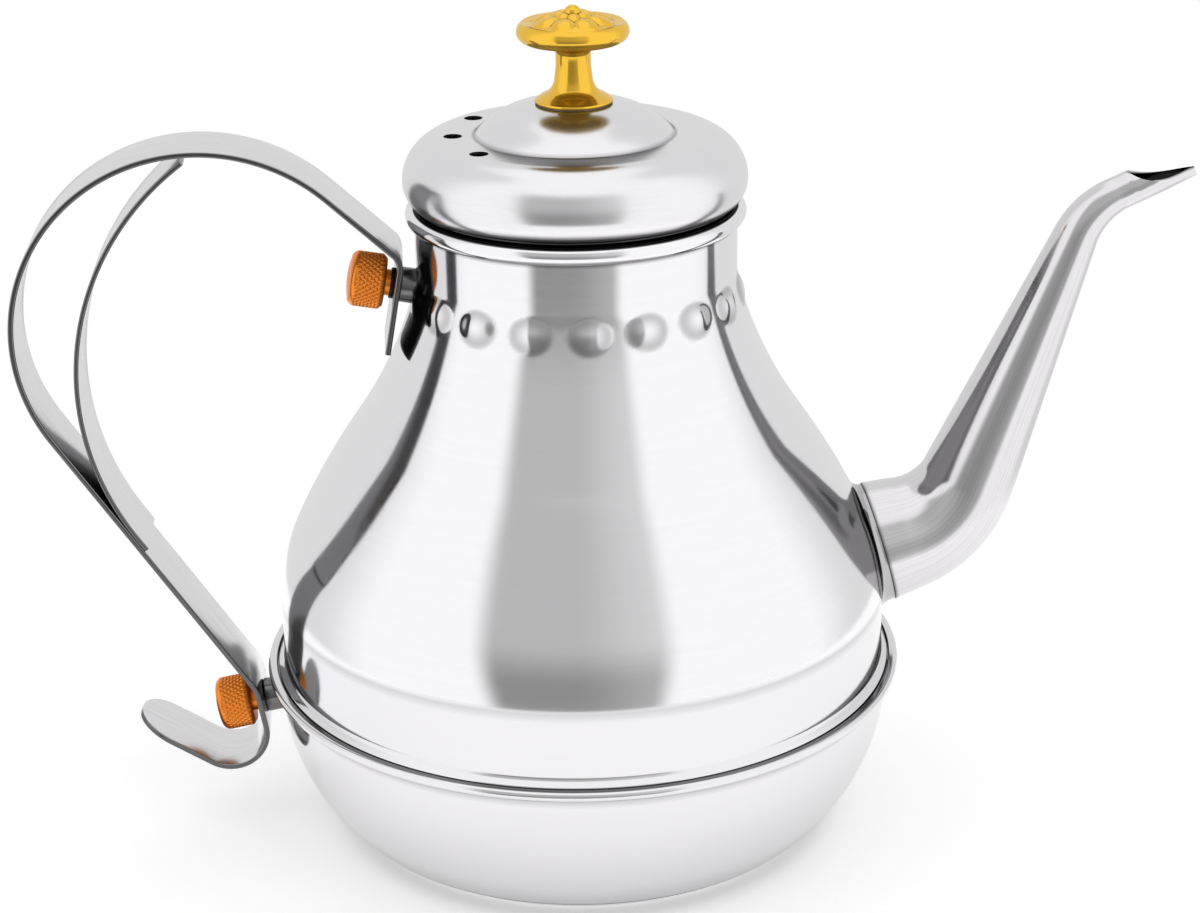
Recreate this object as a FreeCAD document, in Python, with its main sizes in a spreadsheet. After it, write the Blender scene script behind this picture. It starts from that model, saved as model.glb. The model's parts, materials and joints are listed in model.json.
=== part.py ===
import FreeCAD, Part
import math
import os
import Sketcher
from FreeCAD import Placement, Rotation, Vector

# Gooseneck pouring kettle with a spun steel body, strap handle and lift-off lid.
# Origin at the centre of the base, on the surface the kettle stands on. +Z is up,
# +X points to the spout and the handle is on the -X side. Millimetres and degrees.

DIMENSIONS = [
    ("sheet_wall", 0.8, "spun sheet steel"),
    ("base_radius", 55.8, "outer radius of the base cap"),
    ("base_height", 3.2, "base cap, up to the underside of the bowl"),
    ("base_corner", 2.0, "rounded lower corner of the base cap"),
    ("core_radius", 53.6, "heat spreading disc inside the base"),
    ("bowl_radius", 72.2, "bowl at its widest"),
    ("bowl_arc", 45.0, "curve of the bowl's side"),
    ("bowl_top", 35.0, "height where the bowl's side is upright"),
    ("seam_radius", 75.0, "outside of the folded seam"),
    ("seam_height", 39.0, "middle of the folded seam"),
    ("band_radius", 71.0, "upright band above the seam"),
    ("crease_height", 57.0, "top of the upright band"),
    ("crease_lean", 3.0, "slope of the bell just above the crease"),
    ("shoulder_arc", 40.0, "bell curve above the crease"),
    ("shoulder_lean", 26.0, "slope where the shoulder curve ends"),
    ("flank_arc", 190.0, "long bulging curve of the bell"),
    ("flank_lean", 35.0, "steepest slope of the bell"),
    ("waist_arc", 103.0, "hollow curve up to the neck"),
    ("waist_lean", 15.0, "slope where the hollow curve ends"),
    ("neck_arc", 14.0, "small hollow curve into the neck"),
    ("rim_height", 149.6, "top of the rolled rim"),
    ("rim_bead", 2.0, "section radius of the rolled rim"),
    ("dome_count", 18, "embossed domes round the neck"),
    ("dome_height", 128.4, "height of the ring of domes"),
    ("dome_radius", 6.9, "ball radius of one dome"),
    ("dome_proud", 1.8, "how far a dome stands out of the neck"),
    ("root_reach", 70.9, "distance from the axis to the spout's lower end"),
    ("root_height", 62.9, "height of the spout's lower end"),
    ("root_angle", 15.5, "upward tilt of the spout's lower end"),
    ("root_run", 6.5, "straight lower end of the spout"),
    ("elbow_arc", 22.0, "elbow of the spout"),
    ("riser_angle", 68.8, "slope of the rising part of the spout"),
    ("riser_run", 63.2, "length of the rising part"),
    ("bend_arc", 18.0, "upper bend of the spout"),
    ("mouth_angle", 24.0, "slope of the spout's mouth"),
    ("mouth_run", 18.0, "straight end of the spout"),
    ("root_diameter", 29.0, "spout at its lower end"),
    ("bend_diameter", 11.0, "spout where the upper bend starts"),
    ("mouth_diameter", 9.2, "spout at its mouth"),
    ("scoop_radius", 15.6, "hollow cut that opens the mouth"),
    ("scoop_reach", 134.0, "distance from the axis to the scoop's centre"),
    ("scoop_height", 164.9, "height of the scoop's centre"),
    ("socket_flare", 4.5, "flared foot of the spout socket"),
    ("scoop_width", 60.0, "length of the cutter for that hollow"),
    ("socket_depth", 6.0, "how far the socket enters the spout"),
    ("socket_back", 14.0, "socket blank, before it is cut to the bell"),
    ("socket_fit", 0.1, "clearance of the socket in the spout"),
    ("opening_depth", 25.0, "depth of the cut for the spout's opening in the bell"),
    ("strap_width", 18.5, "handle strap"),
    ("strap_thick", 1.3, "handle strap"),
    ("strap_end_reach", 43.4, "lower tip of the strap's upper end, from the axis"),
    ("strap_end_height", 117.8, "height of that tip"),
    ("strap_lean", 10.4, "lean of the strap's upper end"),
    ("strap_end_run", 19.3, "straight upper end"),
    ("strap_bend", 4.5, "bend above the upper nut"),
    ("strap_rise", 137.0, "heading of the strap as it leaves the neck"),
    ("strap_rise_run", 19.2, "straight run up to the loop"),
    ("loop_arc", 42.2, "round loop of the handle"),
    ("loop_turn", 165.8, "how far the loop turns"),
    ("strap_fall_run", 75.5, "straight run from the loop down to the bowl"),
    ("foot_bend", 8.0, "bend above the lower nut"),
    ("foot_turn", 22.8, "turn of that bend"),
    ("foot_run", 8.1, "flat behind the lower nut"),
    ("hook_arc", 8.6, "round bottom of the hook"),
    ("hook_turn", 133.0, "how far the hook turns back up"),
    ("hook_run", 19.6, "straight end of the hook"),
    ("tip_round", 8.5, "rounded corners of the hook's tip"),
    ("upper_hole", 14.1, "upper hole, from the tip of the strap's upper end"),
    ("lower_hole", 4.1, "lower hole, from the top of its flat"),
    ("hole_fit", 0.2, "clearance of a hole round its stud or screw"),
    ("brace_thick", 1.1, "inner strap of the handle"),
    ("brace_from", 33.4, "brace's lower end, along the straight fall of the strap"),
    ("brace_run", 4.0, "part of the brace that lies on the strap"),
    ("brace_arc", 64.5, "curve of the brace"),
    ("brace_turn", 87.0, "how far the brace turns"),
    ("boss_radius", 4.0, "welded boss behind the strap"),
    ("boss_blank", 14.0, "boss before it is cut to the wall"),
    ("stud_rooted", 2.6, "how far the stud enters the boss"),
    ("stud_radius", 2.0, "threaded stud"),
    ("stud_fit", 0.05, "clearance round the stud"),
    ("stud_engaged", 5.0, "thread held by the nut"),
    ("washer_radius", 3.5, "washer under the nut"),
    ("washer_thick", 0.8, "washer under the nut"),
    ("collar_radius", 3.0, "narrow collar of the nut"),
    ("collar_length", 1.2, "narrow collar of the nut"),
    ("nut_radius", 6.3, "knurled head of the nut"),
    ("nut_length", 8.0, "knurled head of the nut"),
    ("nut_edge", 0.9, "chamfer of the head"),
    ("nut_crown", 0.55, "rise of the head's domed end"),
    ("nut_room", 1.0, "room in the nut beyond the stud"),
    ("knurl_count", 32, "grooves round the head"),
    ("knurl_depth", 0.45, "depth of one groove"),
    ("knurl_half", 0.72, "half the width of a groove, as far outside the head as it is deep"),
    ("lid_gap", 0.3, "clearance between the lid and the rim"),
    ("skirt_radius", 34.9, "sleeve of the lid inside the neck"),
    ("skirt_depth", 12.0, "how far the sleeve enters the neck"),
    ("seat_radius", 36.2, "flange of the sleeve, over the rim"),
    ("lid_radius", 38.6, "lid at its widest"),
    ("lid_under", 6.6, "inward curve of the lid's side below its widest place"),
    ("lid_under_lean", 43.0, "how far that curve turns in, down to the lid's lower edge"),
    ("lid_shoulder", 10.0, "shoulder curve of the lid, up to its flat ring"),
    ("crown_foot", 22.4, "inner edge of the flat ring, foot of the raised crown"),
    ("crown_lean", 40.0, "slope at the foot of the crown"),
    ("crown_arc", 20.0, "curve of the raised crown"),
    ("crown_top_lean", 81.0, "slope at the top of the crown"),
    ("vent_count", 3, "steam vents in the lid"),
    ("vent_radius", 2.1, "one steam vent"),
    ("vent_circle", 27.0, "circle on which the vents lie"),
    ("vent_spread", 36.0, "angle from one vent to the next"),
    ("vent_depth", 12.0, "depth of the cut for a vent"),
    ("knob_foot", 8.7, "flared foot of the knob"),
    ("knob_lip", 1.3, "rounded edge of the foot"),
    ("knob_lip_top", 2.47, "top of that edge"),
    ("knob_flare", 6.48, "hollow curve from the foot up to the waist"),
    ("knob_waist", 3.9, "waist of the knob"),
    ("knob_waist_low", 8.2, "lower end of the waist"),
    ("knob_waist_high", 10.8, "upper end of the waist"),
    ("knob_throat", 2.16, "hollow curve from the waist to the disc"),
    ("knob_under_radius", 5.9, "inner edge of the disc's underside"),
    ("knob_under", 12.6, "height of that edge"),
    ("knob_brim_radius", 10.9, "outer edge of the disc's underside"),
    ("knob_brim", 13.6, "height of that edge"),
    ("knob_disc", 12.5, "disc of the knob"),
    ("knob_edge", 15.55, "height of the disc's widest place"),
    ("knob_round", 2.6, "rounded edge of the disc"),
    ("knob_face_radius", 11.25, "outer edge of the disc's face"),
    ("knob_face", 17.9, "height of that edge"),
    ("rosette_radius", 9.5, "dished foot of the rosette"),
    ("rosette_foot", 17.5, "height of that foot"),
    ("button_foot_radius", 3.75, "foot of the button in the middle"),
    ("button_foot", 18.5, "height of that foot"),
    ("button_radius", 3.0, "button in the middle of the rosette"),
    ("button_rise", 1.6, "domed top of that button"),
    ("knob_height", 21.6, "knob from foot to top"),
    ("petal_count", 8, "petals of the rosette on the knob"),
    ("petal_radius", 2.5, "ball radius of one petal"),
    ("petal_circle", 6.6, "circle on which the petals lie"),
    ("petal_height", 16.7, "height of the petals' ball centres"),
    ("screw_radius", 1.9, "screw that holds the knob"),
    ("screw_length", 9.0, "how far the screw enters the knob"),
    ("screw_head", 3.6, "head of that screw"),
    ("screw_head_height", 2.2, "head of that screw"),
    ("screw_head_flat", 2.16, "flat end of that head"),
    ("screw_head_round", 3.24, "curve of that head"),
    ("screw_head_side", 0.88, "upright side of that head"),
    ("screw_room", 1.0, "room in the knob beyond the screw"),
    ("knob_washer_radius", 5.0, "washer under the screw head"),
]

doc = FreeCAD.newDocument("gooseneck_kettle")
sheet = doc.addObject("Spreadsheet::Sheet", "dims")
for row, (alias, number, note) in enumerate(DIMENSIONS, start=1):
    sheet.set(f"A{row}", alias)
    sheet.set(f"B{row}", str(number))
    sheet.set(f"C{row}", note)
    sheet.setAlias(f"B{row}", alias)
doc.recompute()


class Size:
    """A number together with the sheet formula that gives it."""

    def __init__(self, number, formula):
        self.number = float(number)
        self.formula = formula

    def join(self, other, sign, number):
        return Size(number, f"({self.formula} {sign} {as_size(other).formula})")

    def __add__(self, other):
        return self.join(other, "+", self.number + as_size(other).number)

    def __sub__(self, other):
        return self.join(other, "-", self.number - as_size(other).number)

    def __mul__(self, other):
        return self.join(other, "*", self.number * as_size(other).number)

    def __truediv__(self, other):
        return self.join(other, "/", self.number / as_size(other).number)

    def __neg__(self):
        return Size(-self.number, f"(0 - {self.formula})")


def as_size(value):
    return value if isinstance(value, Size) else Size(value, repr(value))


def dim(alias):
    """The sheet's cell of that name."""
    return Size(sheet.get(alias), f"dims.{alias}")


def number(alias):
    return float(sheet.get(alias))


def sin(angle):
    return Size(math.sin(math.radians(angle.number)), f"sin({angle.formula} * 1 deg)")


def cos(angle):
    return Size(math.cos(math.radians(angle.number)), f"cos({angle.formula} * 1 deg)")


def root(value):
    return Size(math.sqrt(value.number), f"sqrt({value.formula})")


def cap_radius(radius, rise):
    """Ball radius of a round cap of that radius and rise."""
    return (radius * radius + rise * rise) / (rise * 2)


ZERO = as_size(0)
WALL = dim("sheet_wall")


# Sketches and features

def new_body(label):
    body = doc.addObject("PartDesign::Body", label)
    body.Label = label
    return body


def origin_feature(body, role):
    return next(item for item in body.Origin.OriginFeatures if item.Role == role)


def new_sketch(body, name, plane="XZ_Plane"):
    sketch = body.newObject("Sketcher::SketchObject", name)
    sketch.AttachmentSupport = (origin_feature(body, plane), "")
    sketch.MapMode = "FlatFace"
    return sketch


def bind(sketch, constraint, size):
    """Add a constraint and tie its value to the sheet."""
    index = sketch.addConstraint(constraint)
    sketch.setExpression(f"Constraints[{index}]", size.formula)


def pin_point(sketch, geometry, end, x, y):
    """Hold one end of a sketch line or arc at (x, y)."""
    if abs(x.number) < 1e-9:
        sketch.addConstraint(Sketcher.Constraint("PointOnObject", geometry, end, -2))
    else:
        bind(sketch, Sketcher.Constraint("DistanceX", -1, 1, geometry, end, x.number), x)
    if abs(y.number) < 1e-9:
        sketch.addConstraint(Sketcher.Constraint("PointOnObject", geometry, end, -1))
    else:
        bind(sketch, Sketcher.Constraint("DistanceY", -1, 1, geometry, end, y.number), y)


def arc_between(start, stop, radius, left):
    """Arc from start to stop that turns left or right."""
    chord = stop - start
    side = Vector(-chord.y, chord.x, 0).normalize()
    rise = math.sqrt(max(radius**2 - chord.Length**2 / 4, 0))
    centre = (start + stop) * 0.5 + side * (rise if left else -rise)
    first, last = (start, stop) if left else (stop, start)
    angles = [math.atan2(point.y - centre.y, point.x - centre.x) for point in (first, last)]
    return Part.ArcOfCircle(Part.Circle(centre, Vector(0, 0, 1), radius), angles[0], angles[1])


def outline(body, name, corners, plane="XZ_Plane"):
    """Closed outline. A corner is (x, y) or (x, y, bend): bend is the radius of the arc to the
    next corner, as ("left", radius) or ("right", radius), and without it the side is straight."""
    sketch = new_sketch(body, name, plane)
    corners = [tuple(as_size(value) for value in corner[:2]) + tuple(corner[2:]) for corner in corners]
    points = [Vector(corner[0].number, corner[1].number, 0) for corner in corners]
    ends = []
    for index, corner in enumerate(corners):
        start = points[index]
        stop = points[(index + 1) % len(points)]
        if len(corner) == 2:
            sketch.addGeometry(Part.LineSegment(start, stop))
            ends.append((1, 2))
        else:
            side, radius = corner[2]
            sketch.addGeometry(arc_between(start, stop, radius.number, side == "left"))
            ends.append((1, 2) if side == "left" else (2, 1))
    for index, corner in enumerate(corners):
        after = (index + 1) % len(corners)
        sketch.addConstraint(
            Sketcher.Constraint("Coincident", index, ends[index][1], after, ends[after][0]))
        pin_point(sketch, index, ends[index][0], corner[0], corner[1])
        if len(corner) == 3:
            radius = corner[2][1]
            bind(sketch, Sketcher.Constraint("Radius", index, radius.number), radius)
    return sketch


def revolve(body, name, corners, kind="PartDesign::Revolution"):
    """Turn an outline, drawn as (radius, height), once round the Z axis."""
    sketch = outline(body, name + "_outline", corners)
    feature = body.newObject(kind, name)
    feature.Profile = sketch
    feature.ReferenceAxis = (sketch, ["V_Axis"])
    feature.Angle = 360
    doc.recompute()
    return feature


def polar_pattern(body, name, feature, count):
    pattern = body.newObject("PartDesign::PolarPattern", name)
    pattern.Originals = [feature]
    pattern.Axis = (origin_feature(body, "Z_Axis"), [""])
    pattern.Angle = 360
    pattern.setExpression("Occurrences", count.formula)
    body.Tip = pattern
    doc.recompute()
    return pattern


def hole_sketch(body, name, point, axis, radius):
    """Circle round a point, square to an axis."""
    sketch = new_sketch(body, name, "XY_Plane")
    sketch.AttachmentOffset = Placement(point, Rotation(Vector(0, 0, 1), axis))
    sketch.addGeometry(Part.Circle(Vector(), Vector(0, 0, 1), radius.number))
    sketch.addConstraint(Sketcher.Constraint("Coincident", 0, 3, -1, 1))
    bind(sketch, Sketcher.Constraint("Radius", 0, radius.number), radius)
    return sketch


def pierce(body, name, point, axis, radius, depth):
    """Round hole of that depth, from a point on along an axis."""
    sketch = hole_sketch(body, name + "_circle", point, axis, radius)
    before = body.Shape.Volume
    pocket = body.newObject("PartDesign::Pocket", name)
    pocket.Profile = sketch
    pocket.Length = depth
    pocket.Reversed = True
    doc.recompute()
    if before - pocket.Shape.Volume < 0.1:
        raise RuntimeError(f"{name} cuts nothing")
    return pocket


def leaning(radius, height, lean, inset=ZERO):
    """Point of a profile, moved inwards square to a wall that leans in by that angle."""
    return radius - inset * cos(lean), height - inset * sin(lean)


def arc_step(radius, height, arc, lean, next_lean, bulging=True):
    """Where a profile curve ends that starts at a lean and ends at the next one."""
    sign = 1 if bulging else -1
    return (radius - arc * (cos(lean) - cos(next_lean)) * sign,
            height + arc * (sin(next_lean) - sin(lean)) * sign)


def plain(label, shape):
    """Piece whose shape is worked out directly."""
    feature = doc.addObject("Part::Feature", label)
    feature.Label = label
    feature.Shape = shape
    feature.Placement = Placement()
    return feature


def rod(name, radius, length, place):
    cylinder = doc.addObject("Part::Cylinder", name)
    cylinder.setExpression("Radius", radius.formula)
    cylinder.setExpression("Height", length.formula)
    cylinder.Placement = place
    return cylinder


def ring(label, outer, inner, length, place):
    """Flat ring or sleeve."""
    cut = doc.addObject("Part::Cut", label)
    cut.Base = rod(label + "_outside", outer, length, place)
    cut.Tool = rod(label + "_inside", inner, length, place)
    cut.Label = label
    return cut


# Base: a steel cap that holds an aluminium disc against the bowl

def make_base_cap():
    radius, top, corner = dim("base_radius"), dim("base_height"), dim("base_corner")
    body = new_body("base_cap")
    revolve(body, "cap", [
        (ZERO, ZERO),
        (radius - corner, ZERO, ("left", corner)),
        (radius, corner),
        (radius, top),
        (radius - WALL, top),
        (radius - WALL, corner, ("right", corner - WALL)),
        (radius - corner, WALL),
        (ZERO, WALL),
    ])
    return body


def make_base_core():
    core = rod("base_core", dim("core_radius"), dim("base_height") - WALL, Placement())
    core.setExpression("Placement.Base.z", WALL.formula)
    core.Label = "base_core"
    return core


# Body: a bowl whose rim is folded round the flange of the bell above it

def make_bowl():
    arc, top, bottom = dim("bowl_arc"), dim("bowl_top"), dim("base_height")
    seam, middle = dim("seam_radius"), dim("seam_height")
    centre = dim("bowl_radius") - arc
    inner_arc = arc - WALL
    floor = bottom + WALL
    foot = centre + root(arc * arc - (top - bottom) * (top - bottom))
    inner_foot = centre + root(inner_arc * inner_arc - (top - floor) * (top - floor))
    fold = WALL * 1.5
    flange = WALL * 0.5
    body = new_body("bowl_shell")
    revolve(body, "bowl", [
        (ZERO, bottom),
        (foot, bottom, ("left", arc)),
        (dim("bowl_radius"), top),
        (dim("bowl_radius"), middle - fold),
        (seam - fold, middle - fold, ("left", fold)),
        (seam, middle, ("left", fold)),
        (seam - fold, middle + fold),
        (dim("bowl_radius"), middle + fold),
        (dim("bowl_radius"), middle + flange),
        (seam - fold, middle + flange),
        (seam - fold, middle - flange),
        (dim("bowl_radius") - WALL, middle - flange),
        (dim("bowl_radius") - WALL, top, ("right", inner_arc)),
        (inner_foot, floor),
        (ZERO, floor),
    ])
    return body


def bell_curve(inset):
    """Points and arcs of the bell's side, from the crease up to the neck."""
    leans = [dim(alias) for alias in ("crease_lean", "shoulder_lean", "flank_lean", "waist_lean")]
    leans.append(ZERO)
    arcs = [dim(alias) for alias in ("shoulder_arc", "flank_arc", "waist_arc", "neck_arc")]
    bulges = (True, True, False, False)
    radius, height = dim("band_radius"), dim("crease_height")
    corners = []
    for index, (arc, bulging) in enumerate(zip(arcs, bulges)):
        point = leaning(radius, height, leans[index], inset)
        bend = ("left", arc - inset) if bulging else ("right", arc + inset)
        corners.append((point[0], point[1], bend))
        radius, height = arc_step(radius, height, arc, leans[index], leans[index + 1], bulging)
    corners.append(leaning(radius, height, ZERO, inset))
    return corners


NECK = bell_curve(ZERO)[-1][0]


def make_bell():
    band, seam, middle = dim("band_radius"), dim("seam_radius"), dim("seam_height")
    bead, rim = dim("rim_bead"), dim("rim_height")
    flange = WALL * 0.5
    body = new_body("bell_shell")
    revolve(body, "bell", [
        (ZERO, middle - flange),
        (seam - WALL * 1.5, middle - flange),
        (seam - WALL * 1.5, middle + flange),
        (band, middle + flange),
    ] + bell_curve(ZERO) + [
        (NECK, rim - bead * 2, ("left", bead)),
        (NECK + bead, rim - bead, ("left", bead)),
        (NECK, rim),
        (ZERO, rim),
    ])
    dome = body.newObject("PartDesign::AdditiveSphere", "dome")
    dome.setExpression("Radius", dim("dome_radius").formula)
    turn = 180 / number("dome_count")
    reach = NECK.number + number("dome_proud") - number("dome_radius")
    direction = Rotation(Vector(0, 0, 1), turn).multVec(Vector(reach, 0, number("dome_height")))
    dome.Placement = Placement(direction, Rotation())
    doc.recompute()
    polar_pattern(body, "domes", dome, dim("dome_count"))
    revolve(body, "inside", [
        (ZERO, middle - WALL),
        (band - WALL, middle - WALL),
    ] + bell_curve(WALL) + [
        (NECK - WALL, rim + WALL),
        (ZERO, rim + WALL),
    ], "PartDesign::Groove")
    start, axis = spout_root()
    bore = dim("root_diameter") * 0.5 - WALL * 2
    pierce(body, "spout_opening", start + axis * WALL.number, axis * -1, bore,
           number("opening_depth"))
    return body


# Paths: a start, a heading in the XZ plane and a list of straight runs and turns

def walk(start, heading, runs):
    """Numbers of a path. A run is ("line", length), ("left", radius, turn) or ("right", ...)."""
    states = [(start, heading)]
    for run in runs:
        angle = math.radians(heading)
        forward = Vector(math.cos(angle), math.sin(angle), 0)
        if run[0] == "line":
            start = start + forward * run[1]
        else:
            sign = 1 if run[0] == "left" else -1
            centre = start + Vector(-forward.y, forward.x, 0) * (sign * run[1])
            spin = Rotation(Vector(0, 0, 1), sign * run[2])
            start = centre + spin.multVec(start - centre)
            heading += sign * run[2]
        states.append((start, heading))
    return states


def in_plane(point):
    """Path point (x, z) as a point of the XZ plane."""
    return Vector(point.x, 0, point.y)


def heading_axis(heading):
    angle = math.radians(heading)
    return Vector(math.cos(angle), 0, math.sin(angle))


def numbers(runs):
    return [(run[0],) + tuple(as_size(value).number for value in run[1:]) for run in runs]


def path_sketch(body, name, start, heading, runs):
    """Sketch of a path whose runs join smoothly, every length, radius and turn tied to the sheet."""
    sketch = new_sketch(body, name)
    states = walk(Vector(start[0].number, start[1].number, 0), heading.number, numbers(runs))
    entries, exits = [], []
    for index, run in enumerate(runs):
        first, last = states[index][0], states[index + 1][0]
        if run[0] == "line":
            sketch.addGeometry(Part.LineSegment(first, last))
        else:
            sketch.addGeometry(arc_between(first, last, run[1].number, run[0] == "left"))
        entries.append(2 if run[0] == "right" else 1)
        exits.append(1 if run[0] == "right" else 2)
    pin_point(sketch, 0, entries[0], start[0], start[1])
    bind(sketch, Sketcher.Constraint("Angle", 0, math.radians(heading.number)), heading)
    for index, run in enumerate(runs):
        if index:
            sketch.addConstraint(
                Sketcher.Constraint("Tangent", index - 1, exits[index - 1], index, entries[index]))
        if run[0] == "line":
            bind(sketch, Sketcher.Constraint("Distance", index, run[1].number), run[1])
        else:
            bind(sketch, Sketcher.Constraint("Radius", index, run[1].number), run[1])
            bind(sketch, Sketcher.Constraint("Angle", index, math.radians(run[2].number)), run[2])
    return sketch


def strip(label, start, heading, runs, thick, width):
    """Flat strap bent along a path."""
    body = new_body(label)
    spine = path_sketch(body, label + "_path", start, heading, runs)
    half_thick, half_width = thick * 0.5, width * 0.5
    section = outline(body, label + "_section", [
        (-half_thick, -half_width),
        (half_thick, -half_width),
        (half_thick, half_width),
        (-half_thick, half_width),
    ], "XY_Plane")
    base = Vector(start[0].number, 0, start[1].number)
    section.AttachmentOffset = Placement(base, Rotation(Vector(0, 1, 0), 90 - heading.number))
    section.setExpression("AttachmentOffset.Base.x", start[0].formula)
    section.setExpression("AttachmentOffset.Base.z", start[1].formula)
    section.setExpression("AttachmentOffset.Rotation.Angle", f"90 - {heading.formula}")
    doc.recompute()
    pipe = body.newObject("PartDesign::AdditivePipe", label + "_strap")
    pipe.Profile = section
    pipe.Spine = (spine, [f"Edge{index + 1}" for index in range(len(runs))])
    doc.recompute()
    return body


# Handle: one strap from the neck round the loop to the bowl and out into a hook, and a brace

def strap_path():
    lean = as_size(90) - dim("strap_lean")
    start = (-dim("strap_end_reach"), dim("strap_end_height"))
    runs = [
        ("line", dim("strap_end_run")),
        ("left", dim("strap_bend"), dim("strap_rise") - lean),
        ("line", dim("strap_rise_run")),
        ("left", dim("loop_arc"), dim("loop_turn")),
        ("line", dim("strap_fall_run")),
        ("right", dim("foot_bend"), dim("foot_turn")),
        ("line", dim("foot_run")),
        ("right", dim("hook_arc"), dim("hook_turn")),
        ("line", dim("hook_run")),
    ]
    return start, lean, runs


def strap_states():
    start, heading, runs = strap_path()
    return walk(Vector(start[0].number, start[1].number, 0), heading.number, numbers(runs))


def fixing(name):
    """Middle of a nut's hole in the strap, and the direction in which that nut comes off."""
    states = strap_states()
    if name == "upper":
        point, heading = states[0]
        along, outward = number("upper_hole"), heading + 90
    else:
        point, heading = states[6]
        along, outward = number("lower_hole"), heading - 90
    return in_plane(point) + heading_axis(heading) * along, heading_axis(outward)


def make_strap():
    start, heading, runs = strap_path()
    body = strip("handle_strap", start, heading, runs, dim("strap_thick"), dim("strap_width"))
    for name in ("upper", "lower"):
        point, outward = fixing(name)
        depth = number("strap_thick") * 3
        pierce(body, name + "_strap_hole", point + outward * (depth / 2), outward * -1,
               dim("stud_radius") + dim("hole_fit"), depth)
    tip, heading = strap_states()[-1]
    corners = [f"Edge{index + 1}" for index, edge in enumerate(body.Shape.Edges)
               if abs(edge.Length - number("strap_thick")) < 1e-6
               and (edge.CenterOfMass - in_plane(tip)).Length < number("strap_width") * 0.55]
    strap = body.Tip
    rounding = body.newObject("PartDesign::Fillet", "tip_rounding")
    rounding.Base = (strap, corners)
    rounding.setExpression("Radius", dim("tip_round").formula)
    doc.recompute()
    return body


def make_brace():
    fall_start, fall_heading = strap_states()[4]
    fall = Size(fall_heading, repr(fall_heading))
    offset = (dim("strap_thick") + dim("brace_thick")) * 0.5
    start = (cos(fall) * dim("brace_from") - sin(fall) * offset + fall_start.x,
             sin(fall) * dim("brace_from") + cos(fall) * offset + fall_start.y)
    runs = [
        ("line", dim("brace_run")),
        ("right", dim("brace_arc"), dim("brace_turn")),
    ]
    return strip("handle_brace", start, fall - 180, runs, dim("brace_thick"), dim("strap_width"))


# Fixings: a boss welded to the wall, a stud in it, a washer and a knurled cap nut

def make_fixing(name, wall_piece):
    point, outward = fixing(name)
    turn = Rotation(Vector(0, 0, 1), outward)
    face = point + outward * (number("strap_thick") / 2)
    seat = point - outward * (number("strap_thick") / 2)
    boss = Part.makeCylinder(number("boss_radius"), number("boss_blank"), seat, outward * -1)
    boss = boss.cut(wall_piece.Shape)
    boss = max(boss.Solids, key=lambda solid: -seat.distanceToPoint(solid.CenterOfMass))
    inner = seat - outward * number("stud_rooted")
    bore = Part.makeCylinder(number("stud_radius"), number("stud_rooted"), inner, outward)
    boss = plain(name + "_boss", boss.cut(bore))
    length = dim("stud_rooted") + dim("strap_thick") + dim("washer_thick") + dim("stud_engaged")
    stud = rod(name + "_stud", dim("stud_radius"), length, Placement(inner, turn))
    stud.Label = name + "_stud"
    fit = dim("stud_radius") + dim("stud_fit")
    washer = ring(name + "_washer", dim("washer_radius"), fit, dim("washer_thick"),
                  Placement(face, turn))
    nut = make_nut(name + "_nut", fit)
    nut.Placement = Placement(face + outward * number("washer_thick"), turn)
    return [boss, stud, washer, nut]


def make_nut(label, bore):
    """Knurled cap nut, its collar at the origin and its domed end up."""
    body = new_body(label)
    collar, radius, edge = dim("collar_radius"), dim("nut_radius"), dim("nut_edge")
    start = dim("collar_length")
    stop = start + dim("nut_length")
    blind = dim("stud_engaged") + dim("nut_room")
    end = radius - edge * 2
    crown = dim("nut_crown")
    revolve(body, label + "_turning", [
        (bore, ZERO),
        (collar, ZERO),
        (collar, start),
        (radius - edge, start),
        (radius, start + edge),
        (radius, stop - edge * 2, ("left", edge * 2)),
        (end, stop, ("left", cap_radius(end, crown))),
        (ZERO, stop + crown),
        (ZERO, blind),
        (bore, blind),
    ])
    depth, half = dim("knurl_depth"), dim("knurl_half")
    groove = outline(body, label + "_groove", [
        (radius - depth, ZERO),
        (radius + depth, -half),
        (radius + depth, half),
    ], "XY_Plane")
    groove.AttachmentOffset = Placement(Vector(0, 0, start.number), Rotation())
    cut = body.newObject("PartDesign::Pocket", label + "_knurl")
    cut.Profile = groove
    cut.setExpression("Length", dim("nut_length").formula)
    cut.Reversed = True
    doc.recompute()
    polar_pattern(body, label + "_knurls", cut, dim("knurl_count"))
    return body


# Spout: a flared socket on the bell and a tapering tube that slips over it

def spout_root():
    point = Vector(number("root_reach"), 0, number("root_height"))
    return point, heading_axis(number("root_angle"))


def spout_legs():
    """Runs of the spout from its lower end to its mouth."""
    turn = number("riser_angle") - number("root_angle")
    dip = number("riser_angle") - number("mouth_angle")
    return [
        ("line", number("root_run")),
        ("left", number("elbow_arc"), turn),
        ("line", number("riser_run")),
        ("right", number("bend_arc"), dip),
        ("line", number("mouth_run")),
    ]


def run_length(run):
    return run[1] if run[0] == "line" else run[1] * math.radians(run[2])


def spout_radii():
    """Radius at each end of every run: an even taper up to the upper bend, a slighter one after it."""
    lengths = [run_length(run) for run in spout_legs()]
    wide, bend, mouth = (number(alias) / 2 for alias in
                         ("root_diameter", "bend_diameter", "mouth_diameter"))
    radii = [wide]
    for index, length in enumerate(lengths):
        if index < 3:
            loss = (wide - bend) * length / sum(lengths[:3])
        else:
            loss = (bend - mouth) * length / sum(lengths[3:])
        radii.append(radii[-1] - loss)
    return radii


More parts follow.
